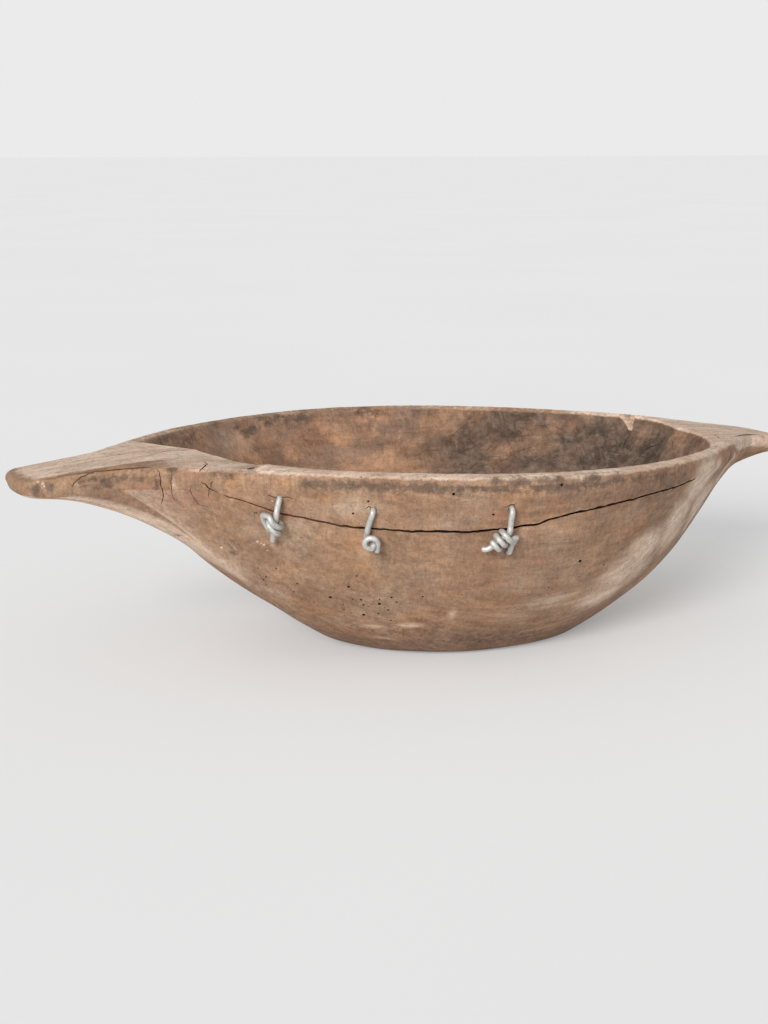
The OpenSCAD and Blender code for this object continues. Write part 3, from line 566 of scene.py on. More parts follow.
# Pale strips: a painted highlight along the front rim's edge, two pale streaks down the flank by the short
# handle, and painted bounce light along the long handle's lower flank
PALE_AND_LIT_STRIPS = (
    (3, 0.7, (
        (-120, -118, 150), (-60, -152, 150), (0, -168, 149), (60, -168, 147), (110, -150, 146),
        (160, -122, 144), (200, -94, 143),
    )),
    (8, 0.9, ((196, -112, 126), (178, -121, 112), (160, -124, 94), (140, -124, 76))),
    (5, 0.9, ((236, -78, 124), (214, -84, 106), (196, -88, 92), (176, -90, 76))),
    (3.5, 0.8, (
        (-300, -32, 124), (-262, -34, 118), (-232, -34, 106), (-206, -32, 90), (-186, -30, 74),
    )),
)
STAIN_DEPTH, STAIN_SPREAD = 8.2, 4.4
stain_line = np.exp(-((below_rim - STAIN_DEPTH) / STAIN_SPREAD) ** 2) * outside * (across < 0)
stain_line *= smooth(-165, -125, along) * smooth(150, 100, along)
stain_line *= 0.5 + 0.5 * np.clip(0.5 + ripple(grid, (18, 18, 12), 11), 0, 1)
soil = np.maximum(spots(SMUDGES_AND_FOOT_SHADE), 0.9 * stain_line)
by_crack = np.exp(-((high - middle_height) / 3.0) ** 2) * outside * smooth(-115, -150, along)
by_crack *= (SIDE < 0) * (np.abs(STATION - CRACK_START) < 8)
ruddy = np.maximum(spots(RED_SPOTS), 0.8 * by_crack)
foot_shade = (1 - smooth(8, 30, high)) * outside * 0.75
shade = np.max([spots(SHADOWS), strips(DARK_STRIPS), foot_shade], axis=0)
# Painted bounce light: paler where the outer wall faces down, toward the long handle
under = smooth(0.35, 0.75, -normals[..., 2]) * smooth(-150, -185, along) * outside
# The pale attribute is partly paler wood and partly painted light: the rim-edge highlight and the bounce
# light below the long handle
pale = np.max([spots(PALE_SPOTS), strips(PALE_AND_LIT_STRIPS), 0.7 * under], axis=0)
pale *= 1 - 0.9 * inside * smooth(150, 200, along)
greyed = inside * smooth(0, 130, along) * smooth(-60, 40, across + 60)
paint = {
    "bleached": bleached, "soil": soil, "greyed": greyed, "hollow": inside,
    "ruddy": ruddy, "shade": shade, "pale": pale,
}


# ---- Materials ----
def colour(red, green, blue):
    return (red, green, blue, 1.0)


class Builder:
    """Short way to add nodes and links to a node tree."""

    def __init__(self, tree):
        self.tree = tree

    def add(self, kind, inputs=(), **settings):
        node = self.tree.nodes.new(kind)
        for key, value in settings.items():
            setattr(node, key, value)
        for key, value in dict(inputs).items():
            self.put(node.inputs[key], value)
        return node

    def put(self, socket, value):
        if isinstance(value, list):
            for one in value:
                self.put(socket, one)
        elif isinstance(value, bpy.types.NodeSocket):
            self.tree.links.new(value, socket)
        elif isinstance(value, bpy.types.Node):
            self.tree.links.new(value.outputs[0], socket)
        else:
            socket.default_value = value

    def math(self, operation, *values):
        return self.add("ShaderNodeMath", enumerate(values), operation=operation).outputs[0]

    def times(self, first, *others):
        for other in others:
            first = self.math("MULTIPLY", first, other)
        return first

    def seen_directly(self):
        """One for rays from the camera and for those that a shiny or clear surface passes on."""
        rays = self.add("ShaderNodeLightPath").outputs
        passed_on = self.math("MAXIMUM", rays["Is Glossy Ray"], rays["Is Transmission Ray"])
        return self.math("MAXIMUM", rays["Is Camera Ray"], passed_on)


class Paint(Builder):
    """A material with the layers that old wood, wire and paper are made of."""

    def __init__(self, name):
        self.material = bpy.data.materials.new(name)
        self.material.use_nodes = True
        super().__init__(self.material.node_tree)
        self.shader = self.tree.nodes["Principled BSDF"]

    def attribute(self, name):
        return self.add("ShaderNodeAttribute", attribute_name=name).outputs["Fac"]

    def ramp(self, value, low, high, start=0.0, end=1.0):
        limits = {"Value": value, "From Min": low, "From Max": high, "To Min": start, "To Max": end}
        return self.add("ShaderNodeMapRange", limits, interpolation_type="SMOOTHSTEP").outputs[0]

    def mix(self, share, first, second):
        return self.add("ShaderNodeMix", {0: share, 6: first, 7: second}, data_type="RGBA").outputs[2]

    def noise(
        self, scale, detail, rough, stretch=(1, 1, 1), turn=(0, 0, 0), shift=(0, 0, 0), distortion=0.0
    ):
        place = {"Vector": self.add("ShaderNodeTexCoord").outputs["Object"]}
        place.update({"Scale": stretch, "Rotation": turn, "Location": shift})
        place = self.add("ShaderNodeMapping", place)
        grain = {"Scale": scale, "Detail": detail, "Roughness": rough, "Distortion": distortion}
        return self.add("ShaderNodeTexNoise", {"Vector": place, **grain}).outputs[0]

    def layers(self, under, table):
        """Lays colours over each other: where each starts and is full, its strength and its colour."""
        for value, low, high, strength, tint in table:
            under = self.mix(self.ramp(value, low, high, 0, strength), under, colour(*tint))
        return under

    def set(self, **values):
        for name, value in values.items():
            self.put(self.shader.inputs[name.replace("_", " ")], value)

    def finish(self, height, strength, distance):
        bump = self.add("ShaderNodeBump", {"Strength": strength, "Distance": distance, "Height": height})
        self.set(Normal=bump)
        return self.material


def old_wood():
    n = Paint("weathered_wood")
    broad = n.noise(10, 4, 0.55)
    cloud = n.noise(36, 5, 0.62, (0.7, 1, 1.1), shift=(3, 1, 2))
    hue = n.noise(30, 5, 0.6, (0.8, 1, 1), shift=(7, 4, 1))
    blotch = n.noise(95, 5, 0.65, shift=(1, 8, 3))
    streak = n.noise(190, 4, 0.62, (0.07, 1, 1), turn=(0, 0.05, 0.04), distortion=0.3)
    fibre = n.noise(420, 3, 0.6, (1, 1, 0.1))
    grit = n.noise(820, 2, 0.7)
    speck = n.noise(560, 3, 0.75, (0.5, 1, 1))
    patchy = n.noise(230, 5, 0.7)
    facets = n.noise(22, 2, 0.5, (1, 1, 0.3), shift=(5, 2, 9))
    rising = n.noise(230, 3, 0.6, (0.16, 0.16, 1), turn=(0.5, 0.75, 0.3))
    falling = n.noise(210, 3, 0.6, (1, 0.16, 0.16), turn=(0.2, 0.85, 0.9))
    cross = n.math("MAXIMUM", rising, falling)

    tan = n.mix(n.ramp(broad, 0.38, 0.62), colour(0.320, 0.183, 0.109), colour(0.398, 0.246, 0.154))
    tan = n.layers(tan, (
        (hue, 0.47, 0.62, 0.7, (0.285, 0.192, 0.130)),
        (hue, 0.49, 0.36, 0.6, (0.398, 0.209, 0.105)),
        (cloud, 0.48, 0.66, 0.7, (0.225, 0.125, 0.072)),
        (cloud, 0.48, 0.34, 0.55, (0.458, 0.315, 0.211)),
        (facets, 0.46, 0.56, 0.45, (0.249, 0.148, 0.093)),
    ))
    oiled = n.mix(n.ramp(cloud, 0.36, 0.64), colour(0.542, 0.301, 0.171), colour(0.271, 0.148, 0.091))
    oiled = n.layers(oiled, ((hue, 0.45, 0.62, 0.7, (0.282, 0.185, 0.134)),))
    grey = n.mix(n.ramp(blotch, 0.36, 0.64), colour(0.137, 0.092, 0.065), colour(0.054, 0.035, 0.024))
    grey = n.layers(grey, (
        (cross, 0.57, 0.66, 0.75, (0.054, 0.036, 0.027)),
        (cross, 0.50, 0.42, 0.4, (0.209, 0.148, 0.112)),
    ))
    worn = n.mix(n.ramp(cloud, 0.35, 0.7), colour(0.665, 0.510, 0.400), colour(0.530, 0.365, 0.262))
    worn = n.layers(worn, ((patchy, 0.56, 0.72, 0.5, (0.380, 0.245, 0.170)),))
    fresh = n.mix(n.ramp(patchy, 0.40, 0.62), colour(0.560, 0.400, 0.295), colour(0.360, 0.240, 0.170))

    greyed = n.attribute("greyed")
    clouded = n.ramp(n.math("ADD", broad, n.times(cloud, 0.5)), 0.55, 0.85, 0.6, 1.0)
    wood = n.mix(n.attribute("hollow"), tan, n.mix(n.times(greyed, clouded), oiled, grey))
    # Each layer (stains, painted shade and painted light): the noise that frays it and how far, where it
    # starts and is full, its strength and colour
    for name, fray, spread, low, high, strength, tint in (
        ("ruddy", blotch, 1.4, 0.15, 0.9, 0.7, colour(0.340, 0.165, 0.100)),
        ("shade", blotch, 1.2, 0.1, 1.0, 0.75, colour(0.200, 0.120, 0.080)),
        ("pale", patchy, 1.0, 0.1, 0.9, 0.85, colour(0.760, 0.585, 0.455)),
        ("bleached", patchy, 2.2, 0.25, 0.75, 0.95, worn),
        ("soil", patchy, 1.8, 0.1, 0.85, 0.85, colour(0.125, 0.083, 0.060)),
    ):
        uneven = n.times(n.math("SUBTRACT", fray, 0.5), spread)
        share = n.ramp(n.math("ADD", n.attribute(name), uneven), low, high, 0.0, strength)
        wood = n.mix(share, wood, tint)
    wood = n.mix(n.attribute("chipped"), wood, fresh)
    # Each grain: where it starts and is full, its brightest and its darkest tone
    tone = n.times(*(n.ramp(*grain) for grain in (
        (patchy, 0.36, 0.66, 1.08, 0.86), (streak, 0.32, 0.70, 1.10, 0.82),
        (grit, 0.30, 0.70, 1.09, 0.88), (fibre, 0.42, 0.68, 1.04, 0.87),
    )))
    wood = n.add("ShaderNodeVectorMath", {0: wood, "Scale": tone}, operation="SCALE").outputs[0]
    wood = n.layers(wood, ((speck, 0.62, 0.69, 0.8, (0.120, 0.072, 0.045)),))
    # Painted shade: near-black inside the crack's slit, the drilled holes and the checks
    wood = n.mix(n.attribute("bored"), wood, colour(0.060, 0.030, 0.018))
    n.set(Base_Color=wood, Roughness=n.ramp(streak, 0.3, 0.7, 0.65, 0.88), Specular_IOR_Level=0.25)

    relief = n.math("ADD", n.times(streak, 0.45), n.times(blotch, 0.6))
    relief = n.math("ADD", relief, n.times(grit, 0.12))
    scratches = n.times(greyed, n.ramp(cross, 0.56, 0.7), 0.5)
    return n.finish(n.math("SUBTRACT", relief, scratches), 0.45, 1.6 * MM)


def dull_wire():
    n = Paint("weathered_wire")
    cloud = n.noise(260, 4, 0.6)
    pits = n.noise(1500, 3, 0.6)
    grey = n.mix(n.ramp(cloud, 0.35, 0.7), colour(0.56, 0.55, 0.52), colour(0.37, 0.36, 0.335))
    grey = n.layers(grey, ((pits, 0.56, 0.72, 0.55, (0.26, 0.245, 0.22)),))
    n.set(Base_Color=grey, Metallic=0.35, Roughness=n.ramp(cloud, 0.3, 0.7, 0.42, 0.62))
    return n.finish(n.math("ADD", cloud, n.times(pits, 0.6)), 0.5, 0.4 * MM)


# Share of the floor's own light in what the camera sees of it, and that light's grey
PAPER_GLOW, PAPER_GREY = 0.32, 0.835


def pale_paper():
    n = Paint("pale_paper")
    grey = colour(PAPER_GREY, PAPER_GREY, PAPER_GREY)
    cloud = n.ramp(n.noise(1.6, 3, 0.5), 0.3, 0.7)
    n.set(Base_Color=n.mix(cloud, grey, colour(0.85, 0.85, 0.85)), Roughness=0.9, Specular_IOR_Level=0.1)
    glow = n.add("ShaderNodeEmission", {"Color": grey, "Strength": 1.0})
    blend = n.add("ShaderNodeMixShader", {0: n.times(n.seen_directly(), PAPER_GLOW), 1: n.shader, 2: glow})
    n.put(n.tree.nodes["Material Output"].inputs["Surface"], blend)
    return n.material


WOOD, WIRE, PAPER = old_wood(), dull_wire(), pale_paper()

# ---- Skin of the displaced bowl, for placing marks on it ----
skin = BVHTree.FromPolygons([Vector(p) for p in points], faces)


def on_skin(place_mm):
    """Nearest point of the carved skin to a place in millimetres, and its outward direction."""
    hit, normal, _, _ = skin.find_nearest(Vector(place_mm) * MM)
    return hit, normal


# ---- Geometry Nodes trees ----
class Shape(Builder):
    """A Geometry Nodes tree with named inputs."""

    def __init__(self, name, **inputs):
        super().__init__(bpy.data.node_groups.new(name, "GeometryNodeTree"))
        sockets = self.tree.interface.new_socket
        for label, kind in {"Geometry": "Geometry", **inputs}.items():
            sockets(label, in_out="INPUT", socket_type="NodeSocket" + kind)
        sockets("Geometry", in_out="OUTPUT", socket_type="NodeSocketGeometry")
        self.start = self.add("NodeGroupInput").outputs
        self.end = self.add("NodeGroupOutput").inputs[0]

    def named(self, name, kind="FLOAT"):
        node = self.add("GeometryNodeInputNamedAttribute", {"Name": name}, data_type=kind)
        return node.outputs["Attribute"]

    def keep(self, geometry, name, value):
        """Stores a value on every face."""
        values = {"Geometry": geometry, "Name": name, "Value": value}
        node = self.add("GeometryNodeStoreNamedAttribute", values, data_type="FLOAT", domain="FACE")
        return node.outputs[0]

    def helper(self, label):
        return self.add("GeometryNodeObjectInfo", {"Object": self.start[label]}).outputs["Geometry"]

    def swept(self, line, sides, radius):
        ring = {"Resolution": sides, "Radius": 1.0}
        ring = self.add("GeometryNodeCurvePrimitiveCircle", ring, mode="RADIUS").outputs["Curve"]
        sweep = {"Curve": line, "Profile Curve": ring, "Scale": radius, "Fill Caps": True}
        return self.add("GeometryNodeCurveToMesh", sweep).outputs[0]

    def close(self, geometry):
        whole = self.add("GeometryNodeRealizeInstances", {"Geometry": geometry})
        painted = {"Geometry": whole, "Material": self.start["Material"]}
        self.put(self.end, self.add("GeometryNodeSetMaterial", painted))
        return self.tree


def run_tree(target, group, values):
    """Runs a tree on an object and keeps the result as a plain mesh."""
    modifier = target.modifiers.new("shape", "NODES")
    modifier.node_group = group
    for item in group.interface.items_tree:
        if item.item_type == "SOCKET" and item.in_out == "INPUT" and item.name in values:
            modifier[item.identifier] = values[item.name]
    bpy.context.view_layer.update()
    seen = target.evaluated_get(bpy.context.evaluated_depsgraph_get())
    made = bpy.data.meshes.new_from_object(seen)
    target.modifiers.remove(modifier)
    old = target.data
    target.data = made
    bpy.data.meshes.remove(old)


def drill_tree():
    """Cuts out a drill on each mark, a scoop on each nick and a fine tool along each check."""
    helpers = dict.fromkeys(("Marks", "Checks", "Nicks", "Chip"), "Object")
    t = Shape("drill_marks", **helpers, Spread="Float", Seed="Int", Material="Material")
    vary = t.add("FunctionNodeRandomValue", {"Seed": t.start["Seed"]}, data_type="FLOAT")
    for socket, way in ((2, "SUBTRACT"), (3, "ADD")):
        t.put(vary.inputs[socket], t.math(way, 1.0, t.start["Spread"]))
    bore, depth = t.named("bore"), t.named("depth")
    varied = t.math("MULTIPLY", bore, vary.outputs[1])
    turn = t.add("FunctionNodeAlignRotationToVector", {"Vector": t.named("way", "FLOAT_VECTOR")}, axis="Z")

    def set_on(label, tool, width):
        scale = t.add("ShaderNodeCombineXYZ", {"X": varied, "Y": width, "Z": depth})
        places = {"Points": t.helper(label), "Instance": tool, "Rotation": turn, "Scale": scale}
        return t.add("GeometryNodeInstanceOnPoints", places).outputs[0]

    drill = t.add("GeometryNodeMeshCylinder", {"Vertices": 14, "Radius": 1.0, "Depth": 1.0}).outputs["Mesh"]
    scoop = t.add("GeometryNodeMeshIcoSphere", {"Radius": 1.0, "Subdivisions": 2}).outputs["Mesh"]
    # Faces cut by drills and checks carry painted shade; faces cut by scoops and the chip show fresh wood
    drills = set_on("Marks", t.keep(drill, "bored", 1.0), varied)
    scoops = set_on("Nicks", t.keep(scoop, "chipped", 1.0), bore)
    lines = t.add("GeometryNodeMeshToCurve", {"Mesh": t.helper("Checks")})
    tools = t.keep(t.swept(lines, 6, bore), "bored", t.named("dark"))
    # Tools that cross each other have to be separate operands of the cut
    each = {"Geometry": tools, "Group ID": t.add("GeometryNodeInputMeshIsland").outputs["Island Index"]}
    tools = t.add("GeometryNodeSplitToInstances", each, domain="FACE").outputs[0]
    chip = t.keep(t.helper("Chip"), "chipped", 1.0)
    wood = t.keep(t.start["Geometry"], "chipped", 0.0)
    cut = t.add("GeometryNodeMeshBoolean", operation="DIFFERENCE", solver="MANIFOLD")
    t.put(cut.inputs["Mesh 1"], wood)
    t.put(cut.inputs["Mesh 2"], [tools, drills, scoops, chip])
    return t.close(cut)


def wire_tree():
    """Sweeps a round, slightly uneven wire along a route."""
    t = Shape("sweep_wire", Radius="Float", Unevenness="Float", Sides="Int", Material="Material")
    line = t.add("GeometryNodeMeshToCurve", {"Mesh": t.start["Geometry"]})
    line = t.add("GeometryNodeResampleCurve", {"Curve": line, "Length": 0.9 * MM}, mode="LENGTH")
    cloud = t.add("ShaderNodeTexNoise", {"Scale": 180.0, "Detail": 2.0})
    wave = t.math("MULTIPLY_ADD", t.math("SUBTRACT", cloud, 0.5), t.start["Unevenness"], 1.0)
    thick = t.times(wave, t.named("taper"), t.start["Radius"])
    skin = t.swept(line, t.start["Sides"], thick)
    return t.close(t.add("GeometryNodeSetShadeSmooth", {"Geometry": skin, "Shade Smooth": True}))


# ---- Stitches: one wire each, in the part's own wall places ----
WIRE_DIAMETER, SEAT_GAP, TURN_GAP = 3.9, 0.5, 0.55
UNIT = WIRE_DIAMETER + TURN_GAP
LIFT = WIRE_DIAMETER / 2 + SEAT_GAP
VISIBLE_RADIUS = 2.0
SLOPE_STEP = 0.01


def unit(vector):
    return vector / np.linalg.norm(vector)


def front(station, share):
    return outer_wall(np.array(float(station)), -1.0, share)


def slope_along(station, share):
    return (front(station + SLOPE_STEP, share) - front(station - SLOPE_STEP, share)) / (2 * SLOPE_STEP)


def slope_up(station, share):
    return (front(station, share + SLOPE_STEP) - front(station, share - SLOPE_STEP)) / (2 * SLOPE_STEP)


def wall_out(station, share):
    return unit(np.cross(slope_along(station, share), slope_up(station, share)))


def wall_frame(station):
    seat = np.array([float(station)]), np.array([-1.0])
    share = float(share_at(outer_wall, *seat, crack_height(seat[0]))[0])
    along, up = slope_along(station, share), slope_up(station, share)
    across = unit(along)
    rise = np.cross(wall_out(station, share), across)
    return station, share, np.linalg.norm(along), up @ across, up @ rise


def address(spot, place):
    step = place[1] * UNIT / spot[4]
    return spot[0] + (place[0] * UNIT - spot[3] * step) / spot[2], spot[1] + step


def off_wall(spot, place):
    at = address(spot, place)
    return front(*at) + wall_out(*at) * (LIFT + place[2] * UNIT)


def hollow_share(point):
    across, deep = abs(point[0] / HOLLOW_HALF_LENGTH), abs(point[1] / HOLLOW_HALF_WIDTH)
    return (across ** HOLLOW_ROUNDNESS + deep ** HOLLOW_ROUNDNESS) ** (1 / HOLLOW_ROUNDNESS)


def beyond_wood(point):
    """How far a point lies inside the hollow, as a share of its plan; below zero it is in the wood."""
    runs, rises = zip(*INNER_WALL)
    run = hollow_share(point)
    goal = (point[2] - FLOOR_THICKNESS) / (float(top_height(point[0] / run)) - FLOOR_THICKNESS)
    low, high = 0.0, 1.0
    for _ in range(HALVINGS):
        middle = (low + high) / 2
        low, high = (middle, high) if cubic(rises, middle) < goal else (low, middle)
    return cubic(runs, middle) - run


def hole_at(spot, place):
    at = address(spot, place)
    mouth, out = front(*at), wall_out(*at)
    low, high = 0.0, HALF_WIDTH / 2
    for _ in range(HALVINGS):
        middle = (low + high) / 2
        low, high = (middle, high) if beyond_wood(mouth - out * middle) < 0 else (low, middle)
    return mouth, out, middle


def smooth_line(places, steps=8):
    found, last = [], len(places) - 1
    for k in range(last):
        before, start, end, after = (places[min(max(k + j, 0), last)] for j in (-1, 0, 1, 2))
        line = [start, start + (end - before) / 6, end - (after - start) / 6, end]
        found.extend(cubic(line, step / steps) for step in range(steps))
    return found + [places[last]]


def bend(start, corner_place, end, steps=9, pull=0.5523):
    line = [start, mix(start, corner_place, pull), mix(end, corner_place, pull), end]
    return [cubic(line, k / steps) for k in range(steps)]


def toward(place, goal, distance):
    return place + unit(goal - place) * distance


def through_holes(upper, lower, before, after):
    upper_out, lower_out = upper[0] + upper[1] * LIFT, lower[0] + lower[1] * LIFT
    upper_in = upper[0] - upper[1] * (upper[2] + LIFT * 1.5)
    lower_in = lower[0] - lower[1] * (lower[2] + LIFT * 1.5)
    return (
        bend(toward(upper_out, before, LIFT), upper_out, upper[0])
        + bend(toward(upper_in, upper[0], LIFT), upper_in, toward(upper_in, lower_in, LIFT))
        + bend(toward(lower_in, upper_in, LIFT), lower_in, toward(lower_in, lower[0], LIFT))
        + bend(lower[0], lower_out, toward(lower_out, after, LIFT))
        + [toward(lower_out, after, LIFT)]
    )


def turns_round(start, way, pitch, lean, side, turns, lead=75, rings=40):
    first, last = -lead, 360 * (turns - 1) + lead
    down = unit(np.array(way, float))
    across = np.array([-down[1], down[0]]) * side + down * lean
    count = math.ceil((last - first) * rings / 360)
    found = []
    for k in range(count + 1):
        turn = mix(first, last, k / count)
        wave = math.radians(turn)
        gone = pitch * (turn + math.sin(wave) * 180 / math.pi) / 360
        place = np.array(start) + down * gone + across * math.sin(wave)
        found.append((place[0], place[1], 1 + math.cos(wave)))
    return found


def curl_over(centre, first, last, rings=40):
    """Ring whose end turns in and lies on top of it."""
    count = math.ceil((last - first) * rings / 360)
    found = []
    for k in range(count + 1):
        turn = mix(first, last, k / count)
        inward = float(smooth(215, 330, turn))
        radius, wave = mix(1, 0.36, inward), math.radians(turn)
        lift = 1 + 0.5 * float(smooth(225, 300, turn))
        found.append((centre[0] + radius * math.cos(wave), centre[1] + radius * math.sin(wave), lift))
    return found


def stitch_route(station, holes, strand, leg, turns):
    spot = wall_frame(station)
    bores = [hole_at(spot, place) for place in holes]
    strand_points, leg_points, turn_points = (
        [off_wall(spot, place) for place in places] for places in (strand, leg, turns)
    )
    crossing = through_holes(bores[0], bores[1], strand_points[-1], leg_points[0])
    strand_line = smooth_line(strand_points + [crossing[0]])
    leg_line = smooth_line([crossing[-1]] + leg_points + [turn_points[0]])
    return np.array(strand_line + crossing[1:] + leg_line[1:] + turn_points[1:]), bores


# Each stitch: its station, its two holes, its strand, the leg back from the lower hole, and its turns,
# as places in wire widths across the wall, up it and off it
STITCHES = {
    "left": stitch_route(
        STITCH_STATIONS["left"], ((0.48, 2.7), (-1.45, -3.2)),
        (
            (-1.15, -4.6, 0.6), (-0.9, -3.6, 0.85), (-0.65, -2.7, 1), (-0.45, -1.9, 1),
            (-0.27, -1.1, 1), (-0.07, -0.2, 1), (0.08, 0.7, 0.95), (0.25, 1.7, 0.4),
        ),
        ((-2.05, -1.9, 0), (-2.3, -1, 0), (-2.36, -0.3, 0.05), (-1.95, 0.2, 0.55)),
        turns_round((-0.12, -0.45), (-0.22, -1), 1.25, 0.3, 1, 2),
    ),
    "middle": stitch_route(
        STITCH_STATIONS["middle"], ((0.76, 3.4), (0.72, -2.35)),
        ((-0.16, -1.55, 0), (-0.14, -0.9, 0), (0.04, 0.45, 0), (0.3, 1.5, 0)),
        ((1.34, -3.1, 0.1), (1.5, -3.22, 0.5), (1.54, -3, 0.92), (1.6, -2.45, 1)),
        curl_over((0.62, -1.75), -8, 415),
    ),
    "right": stitch_route(
        STITCH_STATIONS["right"], ((-0.22, 3.6), (0.42, -4.3)),
        (
            (-4.5, -2.85, 0.7), (-3.8, -2.8, 0.95), (-3.1, -2.35, 1), (-2.3, -1.62, 1),
            (-1.5, -0.92, 1), (-0.75, -0.26, 1), (-0.45, 0.5, 0.9), (-0.33, 1.5, 0.4),
        ),
        ((0.45, -3.4, 0), (0.6, -2.5, 0.1), (0.8, -1.6, 0.4), (0.75, -0.85, 0.85)),
        turns_round((-0.85, -0.35), (-0.75, -0.66), 1.12, -0.35, -1, 3),
    ),
}

# ---- Worm holes, wire holes and checks, in millimetres in the object's frame ----
WORM_HOLES = (
    (0.5, (
        (-169, -69, 76), (-159, -78, 77), (-161, -64, 62), (-145, -76, 58), (-131, -80, 50),
        (-114, -92, 49), (-110, -99, 53), (-99, -101, 48), (-94, -109, 54), (-89, -107, 47),
        (-107, -90, 41), (-110, -85, 38), (-80, -104, 38), (-43, -136, 58), (-70, -99, 26),
        (-98, -82, 28), (-102, -80, 29), (-66, -81, 11), (-178, -87, 120), (-177, -88, 120),
        (20, -149, 59),
    )),
    (0.75, (
        (-163, -69, 69), (-164, -66, 66), (-145, -82, 65), (-112, -110, 73), (-105, -102, 53),
        (-102, -100, 49), (-87, -114, 56), (-83, -114, 52), (-86, -107, 45), (-112, -89, 44),
        (-91, -101, 41), (-81, -101, 35), (-68, -125, 57), (-12, -107, 13), (-115, -135, 131),
        (-122, -126, 122), (-35, -165, 120), (66, -149, 71), (-214, -31, 95), (111, -156, 122),
    )),
    (1.1, (
        (-115, -103, 64), (-123, -90, 55), (-93, -107, 50), (-99, -94, 40), (-64, -162, 136),
        (11, -178, 139), (41, -156, 78),
    )),
)
# Each nick: half width, depth and place
NICKS = (
    (1.3, 0.8, (-312, -28, 143)), (1.2, 0.7, (-309, -30, 142)), (1, 0.7, (-308, -30, 140)),
    (1.1, 0.6, (-173, -79, 98)), (0.9, 0.6, (-171, -80, 97)), (1, 0.7, (-169, -81, 96)),
    (0.8, 0.5, (-167, -81, 91)), (0.9, 0.5, (-170, -99, 130)), (1.1, 0.5, (-199, -53, 94)),
    (2.6, 0.9, (-210, -59, 152)), (1.8, 0.8, (-202, -58, 152)), (1.6, 0.8, (-208, -64, 152)),
    (1.4, 0.7, (-193, -58, 90)), (1.6, 0.7, (241, 2, 138)),
)
# Chip out of the far rim's inner edge: middle of its mouth, run along the rim, and the cut's corners
CHIP_PLACE, CHIP_WAY = (234.0, 66.0, 140.5), (0.66, -0.75)
CHIP_CORNERS = ((2.0, -7.0, -15.5), (0.0, 9.0, 2.5), (-31.0, -7.0, 3.0), (9.0, -7.0, 3.0))
# Each check: greatest half width, darkness of its painted shade, and its places
CHECKS = (
    (0.5, 1, (
        (-173.5, -98, 133), (-172, -100, 134), (-169.5, -101, 132.5), (-163, -106, 133),
        (-160, -107, 133), (-157, -109, 131),
    )),
    (0.45, 1, ((-116, -132, 126), (-114, -134, 127), (-110, -131, 125))),
    (0.4, 1, ((-31, -168, 125), (-26, -169.5, 126), (-23, -171, 127), (-20, -172, 128))),
    (0.5, 0.7, (
        (-292, -32, 139.5), (-288.6, -33, 139), (-286.5, -33, 142), (-281, -33, 145),
        (-273, -32, 147.6), (-267, -32, 148.7), (-261, -28.5, 149),
    )),
    (0.3, 0.5, (
        (-312, -28, 143.5), (-306, -28, 145), (-299, -29, 145), (-288, -24, 147), (-277, -22, 148),
        (-266, -17, 149),
    )),
    (0.3, 0.6, ((-258, -23, 149), (-248, -25, 150), (-238, -25, 150.6), (-231, -25, 151))),
    (0.45, 0.9, (
        (-244, -3, 150), (-232, -6, 151), (-224, -5, 151), (-213, 2.5, 151.6), (-203, 7, 152),
    )),
    (0.35, 0.8, ((-227, -32, 151), (-218, -30, 151), (-205, -23, 152))),
    (0.3, 0.6, (
        (-300, 8, 146), (-289, -2, 147), (-275, -3, 148), (-260, -1.5, 149), (-245, -1.6, 150),
    )),
    (0.45, 0.9, (
        (-235.5, -49, 150.5), (-235, -53, 149), (-234.4, -55, 146.5), (-234.3, -55.5, 142),
        (-234, -55.5, 138), (-232.6, -55, 135), (-231, -51, 129), (-231, -47.5, 124), (-232, -44, 121),
    )),
    (0.35, 0.8, (
        (-224, -55, 151), (-227, -60, 148), (-228, -60, 143), (-228, -59, 135.5), (-226, -56, 130),
        (-224, -54, 125),
    )),
    (0.7, 1, (
        (-212, -72, 149.5), (-210, -71, 151), (-206, -66, 152), (-204, -63, 152), (-201, -58, 152),
        (-199, -47, 152),
    )),
    (0.6, 1, (
        (-211, -73, 142), (-209, -75, 140), (-207, -76, 138), (-204, -77, 136), (-200, -78, 133),
    )),
    (0.4, 0.9, ((-204, -79, 143), (-206, -78, 141), (-206, -77, 138))),
    (0.35, 0.8, ((-207, -77, 138), (-206.4, -74.6, 134), (-206, -72.5, 130))),
    (0.35, 0.7, (
        (-216, -70, 143), (-217.5, -69, 138), (-216, -66.5, 133), (-213, -65, 128),
        (-209.5, -65.5, 124), (-205, -68, 123), (-201, -71, 123),
    )),
    (0.6, 1, ((221.5, 52, 129), (217.5, 52, 123), (213.5, 51, 114))),
    (0.6, 1, ((221, 39, 116.5), (225, 32, 119), (227.5, 26, 120), (229, 21, 121))),
    (0.45, 0.9, ((239, 8.5, 134), (235, 0, 127), (229, -13, 116))),
    (0.35, 0.8, ((227.5, 8, 113), (232, 4, 121), (235, -3.5, 126))),
    (0.4, 0.9, ((171, 92, 101), (174, 90, 103))),
    (0.5, 1, ((236, -48, 139), (228, -66, 139))),
)

chance = random.Random(CHANCE_SEED)
GOUGES = 70
WORM_DEPTH, WORM_TILT, WIRE_HOLE_RADIUS, WIRE_HOLE_SPARE = 14, 0.3, 2.3, 16


